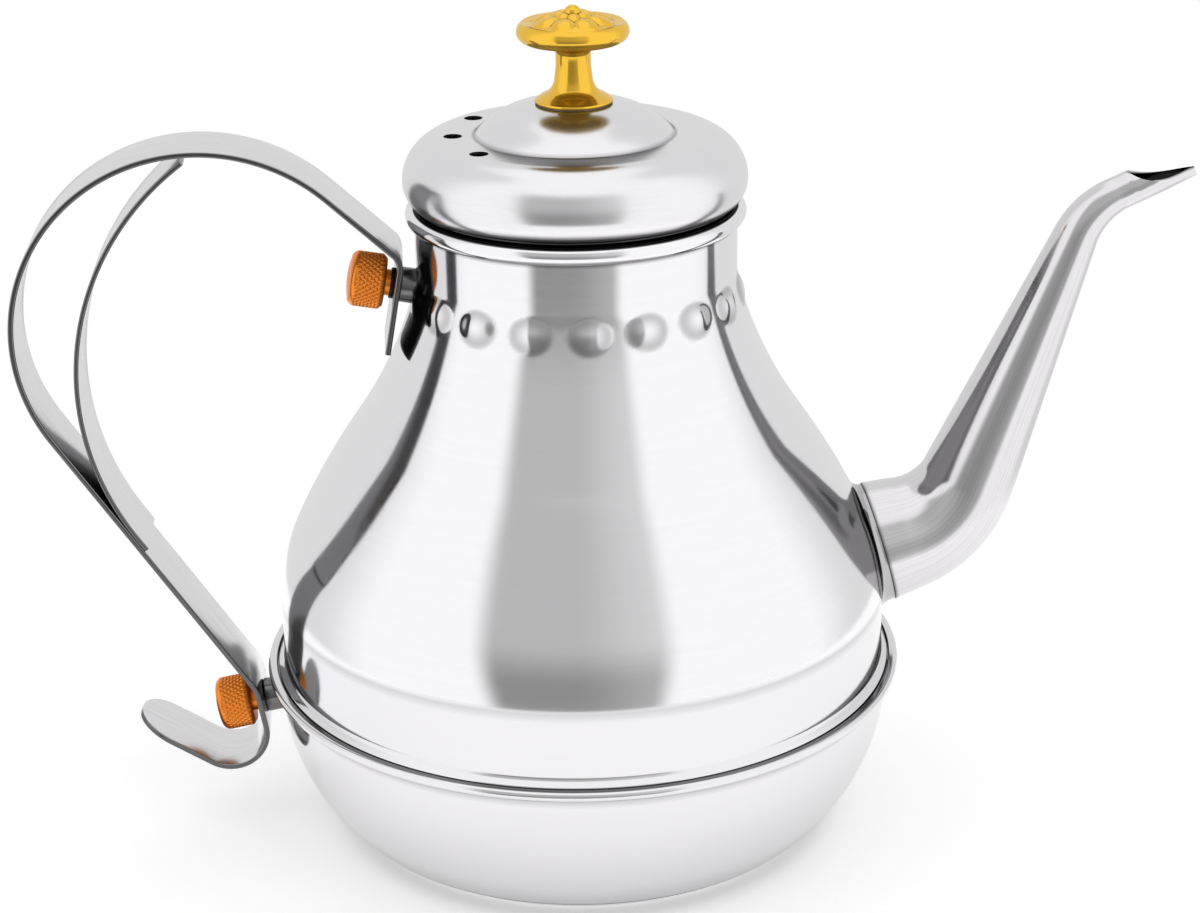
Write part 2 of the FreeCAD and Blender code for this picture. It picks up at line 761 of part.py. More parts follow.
def tapering(inset):
    """Solid that follows the spout, smaller all round by an inset."""
    point, axis = spout_root()
    legs, radii = spout_legs(), spout_radii()
    states = walk(Vector(point.x, point.z, 0), number("root_angle"), legs)
    solids = []
    for index, run in enumerate(legs):
        (first, heading), (last, next_heading) = states[index], states[index + 1]
        wide, narrow = radii[index] - inset, radii[index + 1] - inset
        if run[0] == "line":
            solids.append(Part.makeCone(wide, narrow, run[1], in_plane(first), heading_axis(heading)))
            continue
        half = walk(first, heading, [(run[0], run[1], run[2] / 2)])[-1][0]
        spine = Part.Wire(Part.Arc(in_plane(first), in_plane(half), in_plane(last)).toShape())
        sweep = Part.BRepOffsetAPI.MakePipeShell(spine)
        sweep.add(Part.Wire(Part.makeCircle(wide, in_plane(first), heading_axis(heading))))
        sweep.add(Part.Wire(Part.makeCircle(narrow, in_plane(last), heading_axis(next_heading))))
        sweep.build()
        sweep.makeSolid()
        solids.append(sweep.shape())
    return solids[0].multiFuse(solids[1:])


def make_spout():
    tube = tapering(0).cut(tapering(number("sheet_wall")))
    width = number("scoop_width")
    scoop = Part.makeCylinder(
        number("scoop_radius"), width,
        Vector(number("scoop_reach"), -width / 2, number("scoop_height")), Vector(0, 1, 0))
    return plain("spout_tube", tube.cut(scoop))


def make_socket(bell):
    """Flared collar on the bell: a hollow fillet turned round the spout's axis, with a spigot."""
    point, axis = spout_root()
    wall, flare = number("sheet_wall"), number("socket_flare")
    outer = number("root_diameter") / 2
    depth, back = number("socket_depth"), number("socket_back")
    spigot = outer - wall - number("socket_fit")
    radii = spout_radii()
    spigot_end = spigot - depth * (radii[0] - radii[1]) / number("root_run")
    bore = outer - wall * 2
    neck = outer - wall / 2
    diagonal = math.sqrt(0.5)
    corners = [
        Vector(bore, 0, -back),
        Vector(bore, 0, 0),
        Vector(spigot_end - wall, 0, depth),
        Vector(spigot_end, 0, depth),
        Vector(spigot, 0, 0),
        Vector(neck, 0, 0),
    ]
    foot = [
        Vector(neck + flare, 0, -flare),
        Vector(neck + flare, 0, -back),
        corners[0],
    ]
    middle = Vector(neck + flare * (1 - diagonal), 0, -flare * diagonal)
    section = Part.Wire([
        *Part.makePolygon(corners).Edges,
        Part.Arc(corners[-1], middle, foot[0]).toShape(),
        *Part.makePolygon(foot).Edges,
    ])
    collar = Part.Face(section).revolve(Vector(), Vector(0, 0, 1), 360)
    collar.Placement = Placement(point, Rotation(Vector(0, 0, 1), axis))
    collar = collar.cut(bell.Shape)
    collar = max(collar.Solids, key=lambda solid: solid.CenterOfMass.x)
    return plain("spout_socket", collar)


# Lid: a spun dome with steam vents, a sleeve that enters the neck, and a screwed-on knob

LID_FLOOR = dim("rim_height") + dim("lid_gap") + WALL


def lid_curve(inset):
    """Points and arcs of the lid, from its lower edge up to the crown's flat."""
    under, shoulder, crown = dim("lid_under"), dim("lid_shoulder"), dim("crown_arc")
    widest = dim("lid_radius")
    rise = under * sin(dim("lid_under_lean"))
    side = LID_FLOOR + rise
    top = side + shoulder
    low, high = dim("crown_lean"), dim("crown_top_lean")
    crest = arc_step(dim("crown_foot"), top, crown, low, high)
    inner_under, inner_rise = under - inset, rise - inset
    edge = widest - under + root(inner_under * inner_under - inner_rise * inner_rise)
    inner_crown, inner_top = crown - inset, crown * sin(low) - inset
    foot = dim("crown_foot") - crown * cos(low) + root(inner_crown * inner_crown - inner_top * inner_top)
    return [
        (edge, LID_FLOOR + inset, ("left", inner_under)),
        (widest - inset, side, ("left", shoulder - inset)),
        (widest - shoulder, top - inset),
        (foot, top - inset, ("left", inner_crown)),
        (crest[0] - inset * cos(high), crest[1] - inset),
    ]


CROWN = lid_curve(ZERO)[-1][1]


def make_lid_dome():
    hole, inside = dim("screw_radius") + dim("hole_fit"), dim("skirt_radius") - WALL
    body = new_body("lid_dome")
    inner = lid_curve(WALL)
    back = []
    for index in range(len(inner) - 1, -1, -1):
        bends = inner[index - 1][2:] if index else ()
        back.append(inner[index][:2] + tuple(("right", bend[1]) for bend in bends))
    revolve(body, "dome", [
        (inside, LID_FLOOR),
    ] + lid_curve(ZERO) + [
        (hole, CROWN),
        (hole, CROWN - WALL),
    ] + back + [
        (inside, LID_FLOOR + WALL),
    ])
    middle = (number("vent_count") - 1) / 2
    for index in range(int(number("vent_count"))):
        turn = 180 + (index - middle) * number("vent_spread")
        reach = Rotation(Vector(0, 0, 1), turn).multVec(Vector(number("vent_circle"), 0, 0))
        pierce(body, f"vent_{index + 1}", reach + Vector(0, 0, CROWN.number), Vector(0, 0, -1),
               dim("vent_radius"), number("vent_depth"))
    return body


def make_lid_skirt():
    bottom = dim("rim_height") + dim("lid_gap")
    outer = dim("skirt_radius")
    body = new_body("lid_skirt")
    revolve(body, "skirt", [
        (outer - WALL, bottom - dim("skirt_depth")),
        (outer, bottom - dim("skirt_depth")),
        (outer, bottom),
        (dim("seat_radius"), bottom),
        (dim("seat_radius"), bottom + WALL),
        (outer - WALL, bottom + WALL),
    ])
    return body


def make_knob():
    foot, lip, waist, disc = dim("knob_foot"), dim("knob_lip"), dim("knob_waist"), dim("knob_disc")
    height, button, rise = dim("knob_height"), dim("button_radius"), dim("button_rise")
    bore = dim("screw_radius") + dim("stud_fit")
    blind = dim("screw_length") + dim("screw_room")
    body = new_body("knob")
    revolve(body, "knob_turning", [
        (bore, ZERO),
        (foot - lip, ZERO, ("left", lip)),
        (foot, lip, ("left", lip)),
        (foot - lip * 0.5, dim("knob_lip_top"), ("right", dim("knob_flare"))),
        (waist, dim("knob_waist_low")),
        (waist, dim("knob_waist_high"), ("right", dim("knob_throat"))),
        (dim("knob_under_radius"), dim("knob_under")),
        (dim("knob_brim_radius"), dim("knob_brim"), ("left", dim("knob_round"))),
        (disc, dim("knob_edge"), ("left", dim("knob_round"))),
        (dim("knob_face_radius"), dim("knob_face")),
        (dim("rosette_radius"), dim("rosette_foot")),
        (dim("button_foot_radius"), dim("button_foot")),
        (button, height - rise, ("left", cap_radius(button, rise))),
        (ZERO, height),
        (ZERO, blind),
        (bore, blind),
    ])
    petal = body.newObject("PartDesign::AdditiveSphere", "petal")
    petal.setExpression("Radius", dim("petal_radius").formula)
    petal.Placement = Placement(Vector(number("petal_circle"), 0, number("petal_height")), Rotation())
    doc.recompute()
    polar_pattern(body, "petals", petal, dim("petal_count"))
    body.Placement = Placement(Vector(0, 0, CROWN.number), Rotation())
    body.setExpression("Placement.Base.z", CROWN.formula)
    return body


def make_knob_fastening():
    inside = CROWN - WALL
    fit = dim("screw_radius") + dim("stud_fit")
    washer = ring("knob_washer", dim("knob_washer_radius"), fit, WALL,
                  Placement(Vector(0, 0, (inside - WALL).number), Rotation()))
    body = new_body("knob_screw")
    seat = inside - WALL
    head, height = dim("screw_head"), dim("screw_head_height")
    revolve(body, "screw_turning", [
        (ZERO, seat - height),
        (dim("screw_head_flat"), seat - height, ("left", dim("screw_head_round"))),
        (head, seat - dim("screw_head_side")),
        (head, seat),
        (dim("screw_radius"), seat),
        (dim("screw_radius"), CROWN + dim("screw_length")),
        (ZERO, CROWN + dim("screw_length")),
    ])
    return [washer, body]


def check(pieces):
    for item in doc.Objects:
        if "Invalid" in item.State or "Error" in item.State:
            raise RuntimeError(f"{item.Label} failed: {item.State}")
    for piece in pieces:
        shape = piece.Shape
        if shape.isNull() or not shape.isValid() or not shape.Solids:
            raise RuntimeError(f"{piece.Label} has no sound solid")
        print(f"{piece.Label:16s} solids {len(shape.Solids)} volume {shape.Volume:10.1f}")


def main():
    bowl = make_bowl()
    bell = make_bell()
    pieces = [make_base_cap(), make_base_core(), bowl, bell]
    pieces += [make_socket(bell), make_spout(), make_strap(), make_brace()]
    pieces += make_fixing("upper", bell)
    pieces += make_fixing("lower", bowl)
    pieces += [make_lid_dome(), make_lid_skirt(), make_knob()]
    pieces += make_knob_fastening()
    doc.recompute()
    check(pieces)
    os.makedirs("parts", exist_ok=True)
    for piece in pieces:
        piece.Shape.exportStep(f"parts/{piece.Label}.step")


main()
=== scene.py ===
"""Looks of a polished gooseneck kettle, built on the packed CAD frame."""

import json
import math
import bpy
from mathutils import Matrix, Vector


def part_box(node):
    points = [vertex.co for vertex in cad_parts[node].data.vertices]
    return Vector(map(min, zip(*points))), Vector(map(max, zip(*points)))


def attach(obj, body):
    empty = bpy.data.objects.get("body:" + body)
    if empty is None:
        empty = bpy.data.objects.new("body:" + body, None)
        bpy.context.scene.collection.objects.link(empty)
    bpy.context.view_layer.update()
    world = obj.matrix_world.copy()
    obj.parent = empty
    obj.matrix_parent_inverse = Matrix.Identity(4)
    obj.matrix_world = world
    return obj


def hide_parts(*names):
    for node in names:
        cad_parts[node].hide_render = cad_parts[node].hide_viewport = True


bl_info = {
    "name": "Gooseneck Kettle",
    "version": (1, 0, 0),
    "blender": (4, 5, 0),
    "location": "3D View > Sidebar > Kettle",
    "description": "Polished pouring kettle with gooseneck spout, strap handle and lift-off lid",
    "category": "Add Mesh",
}

import bmesh
import bpy
import numpy as np
from bpy.props import FloatProperty, FloatVectorProperty, IntProperty, PointerProperty
from bpy.types import Operator, Panel, PropertyGroup
from mathutils import Matrix, Vector

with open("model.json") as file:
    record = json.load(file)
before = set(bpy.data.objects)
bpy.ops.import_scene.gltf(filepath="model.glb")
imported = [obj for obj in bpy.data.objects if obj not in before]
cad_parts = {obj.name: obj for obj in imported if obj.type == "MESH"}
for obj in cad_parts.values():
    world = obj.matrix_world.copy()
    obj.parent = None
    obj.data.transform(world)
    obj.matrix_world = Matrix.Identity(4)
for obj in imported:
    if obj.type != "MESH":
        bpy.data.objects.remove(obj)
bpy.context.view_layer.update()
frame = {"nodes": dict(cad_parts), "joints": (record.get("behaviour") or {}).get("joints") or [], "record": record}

IMAGE_WIDTH = 1200
BODIES = frame["record"]["behaviour"]["bodies"]
BODY_OF = {node: body for body, nodes in BODIES.items() for node in nodes}
SLOT_OF = {part["node"]: part["material_slot"] for part in frame["record"]["subparts"]}
JOINTS = {joint["name"]: joint for joint in frame["joints"]}

BASE_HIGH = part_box("base_cap")[1]
BOWL_LOW, BOWL_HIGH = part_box("bowl_shell")
BELL_LOW, BELL_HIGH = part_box("bell_shell")
LID_LOW, LID_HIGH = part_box("lid_dome")
SKIRT_LOW, SKIRT_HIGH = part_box("lid_skirt")
KNOB_LOW, KNOB_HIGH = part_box("knob")
STRAP_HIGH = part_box("handle_strap")[1]

# Fineness of the meshes: rows in each stretch of a profile, and columns for each repeat

BELL_ROWS = {"step": 2, "brow": 4, "foot": 2, "cove": 7, "band": 8, "shoulder": 14, "flank": 14,
             "waist": 60, "neck": 10, "throat": 26, "bead": 14}
LID_ROWS = {"floor": 4, "fold": 6, "under": 14, "shoulder": 42, "ring": 36, "crease": 8, "crown": 20,
            "flat": 6}
THREAD_ROWS, KNURL_ROWS, FLARE_ROWS, FACE_ROWS = 150, 44, 14, 36
DOME_COLUMNS, KNURL_COLUMNS, PETAL_COLUMNS = 18, 9, 24
TIP_STATIONS, CORNER_POINTS, SCOOP_ANGLES, HALVINGS = 14, 7, 721, 40

# Longest step in metres and largest turn in radians along a path

TUBE_STEP, STRIP_STEP, PATH_TURN = 0.0008, 0.001, 0.06

# Closeness, in metres, of points that are one, of edges that vanish and of rows that are the same

WELD, VANISHING, SAME_ROW = 1e-6, 1e-7, 1e-9

# Clearances in metres: bore round a screw, lid's hole round it, and blind hole beyond it

BORE_ROOM, HOLE_ROOM, BLIND_ROOM = 0.00005, 0.00015, 0.001

# Brushing lines: how far they drift round a turn, and how far tube and strip draw them out

SPIN_DRIFT, TUBE_DRAW, STRIP_DRAW = 0.002, 0.03, 0.04
GRAIN_DEPTH = 0.00002


# Settings that a user would change

def length(name, description, default):
    return FloatProperty(name=name, description=description, default=default, min=0.0,
                         unit="LENGTH", precision=5)


def angle(name, description, degrees):
    return FloatProperty(name=name, description=description, default=math.radians(degrees),
                         subtype="ANGLE", unit="ROTATION")


def amount(name, description, default):
    return IntProperty(name=name, description=description, default=default, min=3)


def factor(name, description, default):
    return FloatProperty(name=name, description=description, default=default, min=0.0, max=1.0,
                         subtype="FACTOR")


def colour(name, description, default):
    return FloatVectorProperty(name=name, description=description, default=default, size=3,
                               min=0.0, max=1.0, subtype="COLOR")


class KettleBodySizes(PropertyGroup):
    """Sizes of base, bowl and bell."""

    wall: length("Wall", "Thickness of the spun sheet", 0.0008)
    base_corner: length("Base corner", "Rounded lower corner of the base cap", 0.002)
    bowl_radius: length("Bowl radius", "Bowl at its widest", 0.0722)
    bowl_arc: length("Bowl curve", "Curve of the bowl's side", 0.045)
    bowl_top: length("Bowl top", "Height where the bowl's side is upright", 0.035)
    seam_height: length("Seam height", "Middle of the folded seam", 0.039)
    band_radius: length("Band radius", "Upright band above the seam", 0.071)
    crease_height: length("Crease height", "Top of the upright band", 0.057)
    crease_lean: angle("Crease lean", "Slope just above the crease", 3.0)
    shoulder_arc: length("Shoulder curve", "Curve above the crease", 0.040)
    shoulder_lean: angle("Shoulder lean", "Slope where the shoulder ends", 26.0)
    flank_arc: length("Flank curve", "Long bulging curve of the bell", 0.190)
    flank_lean: angle("Flank lean", "Steepest slope of the bell", 35.0)
    waist_arc: length("Waist curve", "Hollow curve up to the neck", 0.103)
    waist_lean: angle("Waist lean", "Slope where the hollow curve ends", 15.0)
    neck_arc: length("Neck curve", "Small hollow curve into the neck", 0.014)
    rim_bead: length("Rim bead", "Section radius of the rolled rim", 0.002)
    dome_count: amount("Domes", "Embossed domes round the neck", 18)
    dome_height: length("Dome height", "Height of the ring of domes", 0.1284)
    dome_radius: length("Dome radius", "Ball radius of one dome", 0.0069)
    dome_proud: length("Dome rise", "How far a dome stands out of the neck", 0.0018)
    seam_gap: length("Seam gap", "Open groove between the fold and the bell", 0.00025)
    seam_step: length("Seam step", "How far the bell's foot stands out under its band", 0.0015)
    seam_cove: length("Seam cove", "Hollow curve from that foot into the band", 0.0012)
    seam_slant: angle("Seam slant", "Slope of that foot's upper side", 50.0)
    dome_blend: length("Dome blend", "Softness of the edge round a dome", 0.0010)


class KettleSpoutSizes(PropertyGroup):
    """Sizes of the spout and its socket."""

    root_reach: length("Root reach", "Distance from the axis to the spout's lower end", 0.0709)
    root_height: length("Root height", "Height of the spout's lower end", 0.0629)
    root_angle: angle("Root angle", "Upward tilt of the spout's lower end", 15.5)
    root_run: length("Root run", "Straight lower end", 0.0065)
    elbow_arc: length("Elbow", "Elbow of the spout", 0.022)
    riser_angle: angle("Riser angle", "Slope of the rising part", 68.8)
    riser_run: length("Riser run", "Length of the rising part", 0.0632)
    bend_arc: length("Bend", "Upper bend", 0.018)
    mouth_angle: angle("Mouth angle", "Slope of the mouth", 24.0)
    mouth_run: length("Mouth run", "Straight end", 0.018)
    root_diameter: length("Root diameter", "Spout at its lower end", 0.029)
    riser_diameter: length("Riser diameter", "Spout where its rising part starts", 0.0223)
    bend_diameter: length("Bend diameter", "Spout where the upper bend starts", 0.0103)
    mouth_diameter: length("Mouth diameter", "Spout from the upper bend to its mouth", 0.0079)
    scoop_radius: length("Scoop radius", "Hollow cut that opens the mouth", 0.0135)
    scoop_reach: length("Scoop reach", "Distance from the axis to the scoop's centre", 0.1319)
    scoop_height: length("Scoop height", "Height of the scoop's centre", 0.1639)
    lip_length: length("Lip length", "Length over which the mouth narrows to its lip", 0.0105)
    lip_width: factor("Lip width", "Width left at the lip's end, as a share of the tube", 0.15)
    lip_height: factor("Lip height", "How far round the wall goes there, as a share", 0.68)
    socket_flare: length("Socket flare", "Width of the socket's flared foot", 0.0022)
    socket_lip: length("Socket lip", "How far the socket's lip stands past the spout's end", 0.0004)
    # Length of the painted shade at the spout's lower end
    joint_shade_reach: length("Solder line", "Dark line where the spout enters its socket", 0.0008)


class KettleHandleSizes(PropertyGroup):
    """Sizes of strap and brace."""

    thick: length("Strap thickness", "Handle strap", 0.0013)
    edge: length("Edge round", "Rounded edge of strap and brace", 0.0004)
    end_reach: length("End reach", "Tip of the strap's upper end, from the axis", 0.0434)
    end_height: length("End height", "Height of that tip", 0.1178)
    lean: angle("Lean", "Lean of the strap's upper end", 10.4)
    end_run: length("End run", "Straight upper end", 0.0193)
    top_bend: length("Top bend", "Bend above the upper nut", 0.0045)
    rise: angle("Rise", "Heading of the strap as it leaves the neck", 137.0)
    rise_run: length("Rise run", "Straight run up to the loop", 0.0192)
    loop_arc: length("Loop", "Round loop", 0.0422)
    loop_turn: angle("Loop turn", "How far the loop turns", 165.8)
    fall_run: length("Fall run", "Straight run down to the bowl", 0.0755)
    foot_bend: length("Foot bend", "Bend above the lower nut", 0.008)
    foot_turn: angle("Foot turn", "Turn of that bend", 22.8)
    foot_run: length("Foot run", "Flat behind the lower nut", 0.0081)
    hook_arc: length("Hook", "Round bottom of the hook", 0.0086)
    hook_turn: angle("Hook turn", "How far the hook turns back up", 133.0)
    hook_run: length("Hook run", "Straight end of the hook", 0.0196)
    tip_round: length("Tip round", "Rounded corners of the hook's tip", 0.0085)
    brace_thick: length("Brace thickness", "Inner strap", 0.0011)
    brace_from: length("Brace start", "Brace's lower end, along the strap's straight fall", 0.0334)
    brace_run: length("Brace run", "Part of the brace that lies on the strap", 0.004)
    brace_arc: length("Brace curve", "Curve of the brace", 0.0645)
    brace_turn: angle("Brace turn", "How far the brace turns", 87.0)


class KettleFixingSizes(PropertyGroup):
    """Sizes of the bosses, studs, washers and cap nuts."""

    boss_radius: length("Boss radius", "Boss behind the strap", 0.004)
    stud_radius: length("Stud radius", "Threaded stud", 0.002)
    stud_fit: length("Stud fit", "Clearance round the stud", 0.00005)
    stud_rooted: length("Rooted thread", "How far the stud enters the boss", 0.0026)
    stud_engaged: length("Engaged thread", "Thread held by the nut", 0.005)
    thread_pitch: length("Thread pitch", "Rise of the thread in one turn", 0.0007)
    thread_depth: length("Thread depth", "Depth of the thread", 0.00025)
    washer_radius: length("Washer radius", "Washer under the nut", 0.0035)
    washer_thick: length("Washer thickness", "Washer under the nut", 0.0008)
    collar_radius: length("Collar radius", "Narrow collar of the nut", 0.003)
    collar_length: length("Collar length", "Narrow collar of the nut", 0.0012)
    nut_radius: length("Nut radius", "Knurled head", 0.0063)
    nut_length: length("Nut length", "Knurled head", 0.008)
    nut_edge: length("Nut edge", "Chamfer of the head", 0.0009)
    knurl_count: amount("Knurls", "Grooves round the head", 32)
    knurl_depth: length("Knurl depth", "Depth of one groove", 0.00038)
    knurl_pitch: length("Knurl pitch", "Rise of a groove from one knurl to the next", 0.0016)


class KettleLidSizes(PropertyGroup):
    """Sizes of lid and knob."""

    sleeve_radius: length("Sleeve radius", "Sleeve of the lid inside the neck", 0.0349)
    under: length("Under curve", "Inward curve of the side below its widest place", 0.0066)
    under_lean: angle("Under lean", "How far that curve turns in", 43.0)
    shoulder: length("Shoulder", "Shoulder curve up to the flat ring", 0.010)
    crown_foot: length("Crown foot", "Inner edge of the flat ring", 0.0224)
    crease_arc: length("Crease curve", "Hollow curve at the foot of the crown", 0.0007)
    crown_lean: angle("Crown lean", "Slope at the crown's foot", 41.0)
    crown_arc: length("Crown curve", "Curve of the raised crown", 0.020)
    crown_top_lean: angle("Crown top lean", "Slope at the crown's top", 86.8)
    vent_count: amount("Vents", "Steam vents", 3)
    vent_radius: length("Vent radius", "One steam vent", 0.0021)
    vent_circle: length("Vent circle", "Circle on which the vents lie", 0.027)
    vent_spread: angle("Vent spread", "Angle from one vent to the next", 36.0)
    knob_foot: length("Knob foot", "Flared foot of the knob", 0.0087)
    knob_waist: length("Knob waist", "Waist of the knob", 0.0039)
    knob_disc: length("Knob disc", "Disc of the knob", 0.0125)
    petal_count: amount("Petals", "Petals of the rosette", 8)
    petal_radius: length("Petal radius", "Reach of one petal", 0.0027)
    petal_circle: length("Petal circle", "Circle on which the petals lie", 0.0068)
    petal_rise: length("Petal rise", "How far a petal stands out of the face", 0.0008)
    lobe_radius: length("Lobe radius", "Reach of one lobe of the inner ring", 0.0016)
    lobe_circle: length("Lobe circle", "Circle on which the lobes lie", 0.0036)
    lobe_rise: length("Lobe rise", "How far a lobe stands out of the face", 0.0006)
    bud_radius: length("Bud radius", "Round bud in the middle", 0.0019)
    bud_rise: length("Bud rise", "Height of the bud", 0.0016)
    face_radius: length("Face radius", "Outer edge of the rosette's cone", 0.0095)
    face_low: length("Face low", "Height of the cone's outer edge", 0.0175)
    foot_lip: length("Foot lip", "Rounded edge of the foot", 0.0005)
    foot_slope: length("Foot slope", "Height where the foot's cone turns into its hollow flare", 0.0017)
    disc_rim: length("Disc rim", "Round of the disc's edge", 0.0026)
    screw_radius: length("Screw radius", "Screw that holds the knob", 0.0019)
    screw_length: length("Screw length", "How far the screw enters the knob", 0.009)
    screw_head: length("Screw head", "Radius of the screw's head", 0.0036)
    screw_head_height: length("Screw head height", "Height of the screw's head", 0.0022)
    washer_radius: length("Knob washer", "Washer under the screw head", 0.005)


class KettleFinishes(PropertyGroup):
    """Colours and gloss."""

    steel: colour("Steel", "Mirror-polished sheet", (0.94, 0.928, 0.945))
    steel_gloss: factor("Steel roughness", "Blur of the polished sheet's reflections", 0.085)
    lid: colour("Lid", "Satin spun sheet of the lid", (0.90, 0.888, 0.905))
    lid_gloss: factor("Lid roughness", "Blur of the spun lid's reflections", 0.18)
    tube: colour("Tube", "Drawn and brushed tube of the spout", (0.83, 0.815, 0.83))
    tube_gloss: factor("Tube roughness", "Blur of the tube's reflections", 0.12)
    strip: colour("Strip", "Polished strip of handle and brace", (0.89, 0.88, 0.895))
    strip_gloss: factor("Strip roughness", "Blur of the strip's reflections", 0.14)
    # Colour of the painted shade in folds, joints, insides and on edges
    painted_shade_colour: colour("Crevice", "Darkened metal in folds and on sheared edges", (0.03, 0.028, 0.03))
    bare: colour("Bare steel", "Unpolished inside of bowl and bell", (0.60, 0.595, 0.60))
    thread: colour("Thread steel", "Plain turned steel", (0.55, 0.55, 0.56))
    # Near-black colour of the washers
    dark: colour("Dark steel", "Blackened washers", (0.035, 0.033, 0.033))
    copper: colour("Copper brass", "Knurled cap nuts", (1.0, 0.30, 0.04))
    gold: colour("Gold brass", "Plated knob", (1.0, 0.60, 0.06))
    aluminium: colour("Aluminium", "Heat-spreading disc", (0.72, 0.72, 0.73))


class KettleShades(PropertyGroup):
    """How dark the painted shade makes folds, joints, edges and insides, and the tone of brushing lines."""

    # Painted shade that makes bowl and band a little darker than the bell
    lower_painted_shade: factor("Lower dulling", "Bowl and band, duller than the bell", 0.08)
    # Painted shade where the bowl meets the base
    bowl_foot_shade: factor("Bowl foot", "Where the bowl meets the base", 0.8)
    bead_shadow: factor("Bead shadow", "Under the seam's bead", 0.85)
    # Painted shade along the crease
    crease: factor("Crease", "Along the top of the upright band", 0.3)
    # Painted shade in a ring round each dome
    dome_painted_shade: factor("Dome mark", "Press mark round a dome", 0.4)
    # Painted shade under the rolled rim
    rim_painted_shade: factor("Rim fold", "Under the rolled rim", 0.7)
    # Painted shade where the spout enters its socket
    spout_joint_shade: factor("Spout joint", "Soldered lower end of the spout", 0.9)
    # Painted shade in the hollow of the socket's flare and where it meets the bell
    socket_flare: factor("Socket flare", "Hollow of the socket's flare", 0.45)
    socket_foot_shade: factor("Socket foot", "Where the socket meets the bell", 0.6)
    # Painted shade on the edges of strap and brace
    edge_painted_shade: factor("Sheared edge", "Edges of strap and brace", 0.86)
    # Painted shadow on the boss behind the strap
    boss: factor("Boss", "Boss darkened by its weld", 0.8)
    # Painted shade in the crease at the foot of the lid's crown, and on the lid's inner wall
    lid_crease_shade: factor("Lid crease", "Foot of the lid's crown", 0.6)
    lid_inside_shade: factor("Lid inside", "Inner wall of the lid", 0.3)
    # Painted shadow on the fold between the sleeve and the lid
    sleeve_painted_shadow: factor("Sleeve fold", "Fold between the sleeve and the lid", 0.95)
    brushing: factor("Brushing", "Tone left in the darkest brushing lines", 0.45)


class KettleStage(PropertyGroup):
    """Camera and surround."""

    camera_azimuth: angle("Camera azimuth", "Turn of the camera round the kettle", -4.0)
    camera_distance: length("Camera distance", "From the kettle's axis, along the floor", 0.5552)
    camera_height: length("Camera height", "Above the floor", 0.3084)
    camera_pitch: angle("Camera pitch", "How far the camera looks down", 21.68)
    camera_aim: angle("Camera aim", "How far it looks to the right of the axis", 0.483)
    camera_roll: angle("Camera roll", "Turn about its line of sight", -0.79)
    focal_pixels: FloatProperty(name="Focal length", description="Focal length in the picture's pixels",
                                default=2563.0, subtype="PIXEL")
    floor_drop: length("Floor drop", "How far the floor lies under the base", 0.0002)
    floor_radius: length("Floor radius", "Round pale floor", 0.245)
    floor_fade: length("Floor fade", "Width of the floor's soft edge", 0.04)
    floor_colour: colour("Floor", "Pale floor", (0.90, 0.90, 0.90))
    floor_glow: factor("Floor glow", "Own light of the floor", 0.31)
    front_low: factor("Front low", "Brightness of the lower part of the opening in front", 0.28)
    front_high: factor("Front high", "Brightness of its upper part", 0.50)
    front_right: factor("Front right", "Brightness that its right side has more", 0.16)
    back_grey: factor("Back grey", "Brightness of the surround behind the kettle", 0.75)
    bounce_share: factor("Bounce share", "Light left in a reflection within a reflection", 0.24)


GROUPS = {
    "kettle_body": KettleBodySizes,
    "kettle_spout": KettleSpoutSizes,
    "kettle_handle": KettleHandleSizes,
    "kettle_fixing": KettleFixingSizes,
    "kettle_lid": KettleLidSizes,
    "kettle_finish": KettleFinishes,
    "kettle_shade": KettleShades,
    "kettle_stage": KettleStage,
}


def settings(name):
    """Values of one group of settings."""
    return getattr(bpy.context.scene, name)


# Profiles: rows of (radius, height, lean), where lean is the wall's slope from upright

def arc_rows(start, radius, lean_to, count, hollow=False):
    """Arc from a row on to another lean: centre plus radius times (cos lean, sin lean), or minus
    it where the curve is hollow."""
    leans = np.linspace(start[2], lean_to, count)
    sign = -1.0 if hollow else 1.0
    facing = np.column_stack([np.cos(leans), np.sin(leans)])
    places = np.asarray(start[:2]) + sign * radius * (facing - facing[0])
    return np.column_stack([places, leans])


def run_rows(start, distance, count):
    """Straight stretch of a wall: the start plus t times (-sin lean, cos lean)."""
    t = np.linspace(0.0, distance, count)[:, None]
    places = np.asarray(start[:2]) + t * [-math.sin(start[2]), math.cos(start[2])]
    return np.column_stack([places, np.full(count, start[2])])


def leaning(row, lean):
    """The same place with another lean, where a profile turns sharply."""
    return np.array([row[0], row[1], lean])


def joined(*stretches):
    """Profile of several stretches, without the doubled rows where they meet."""
    rows = np.concatenate([np.atleast_2d(stretch) for stretch in stretches])
    step = np.abs(np.diff(rows, axis=0)).max(axis=1)
    return rows[np.concatenate([[True], step > SAME_ROW])]


def set_in(rows, wall):
    """Places of a profile moved in by a wall: minus its thickness times (cos lean, sin lean)."""
    return rows[:, :2] - wall * np.column_stack([np.cos(rows[:, 2]), np.sin(rows[:, 2])])


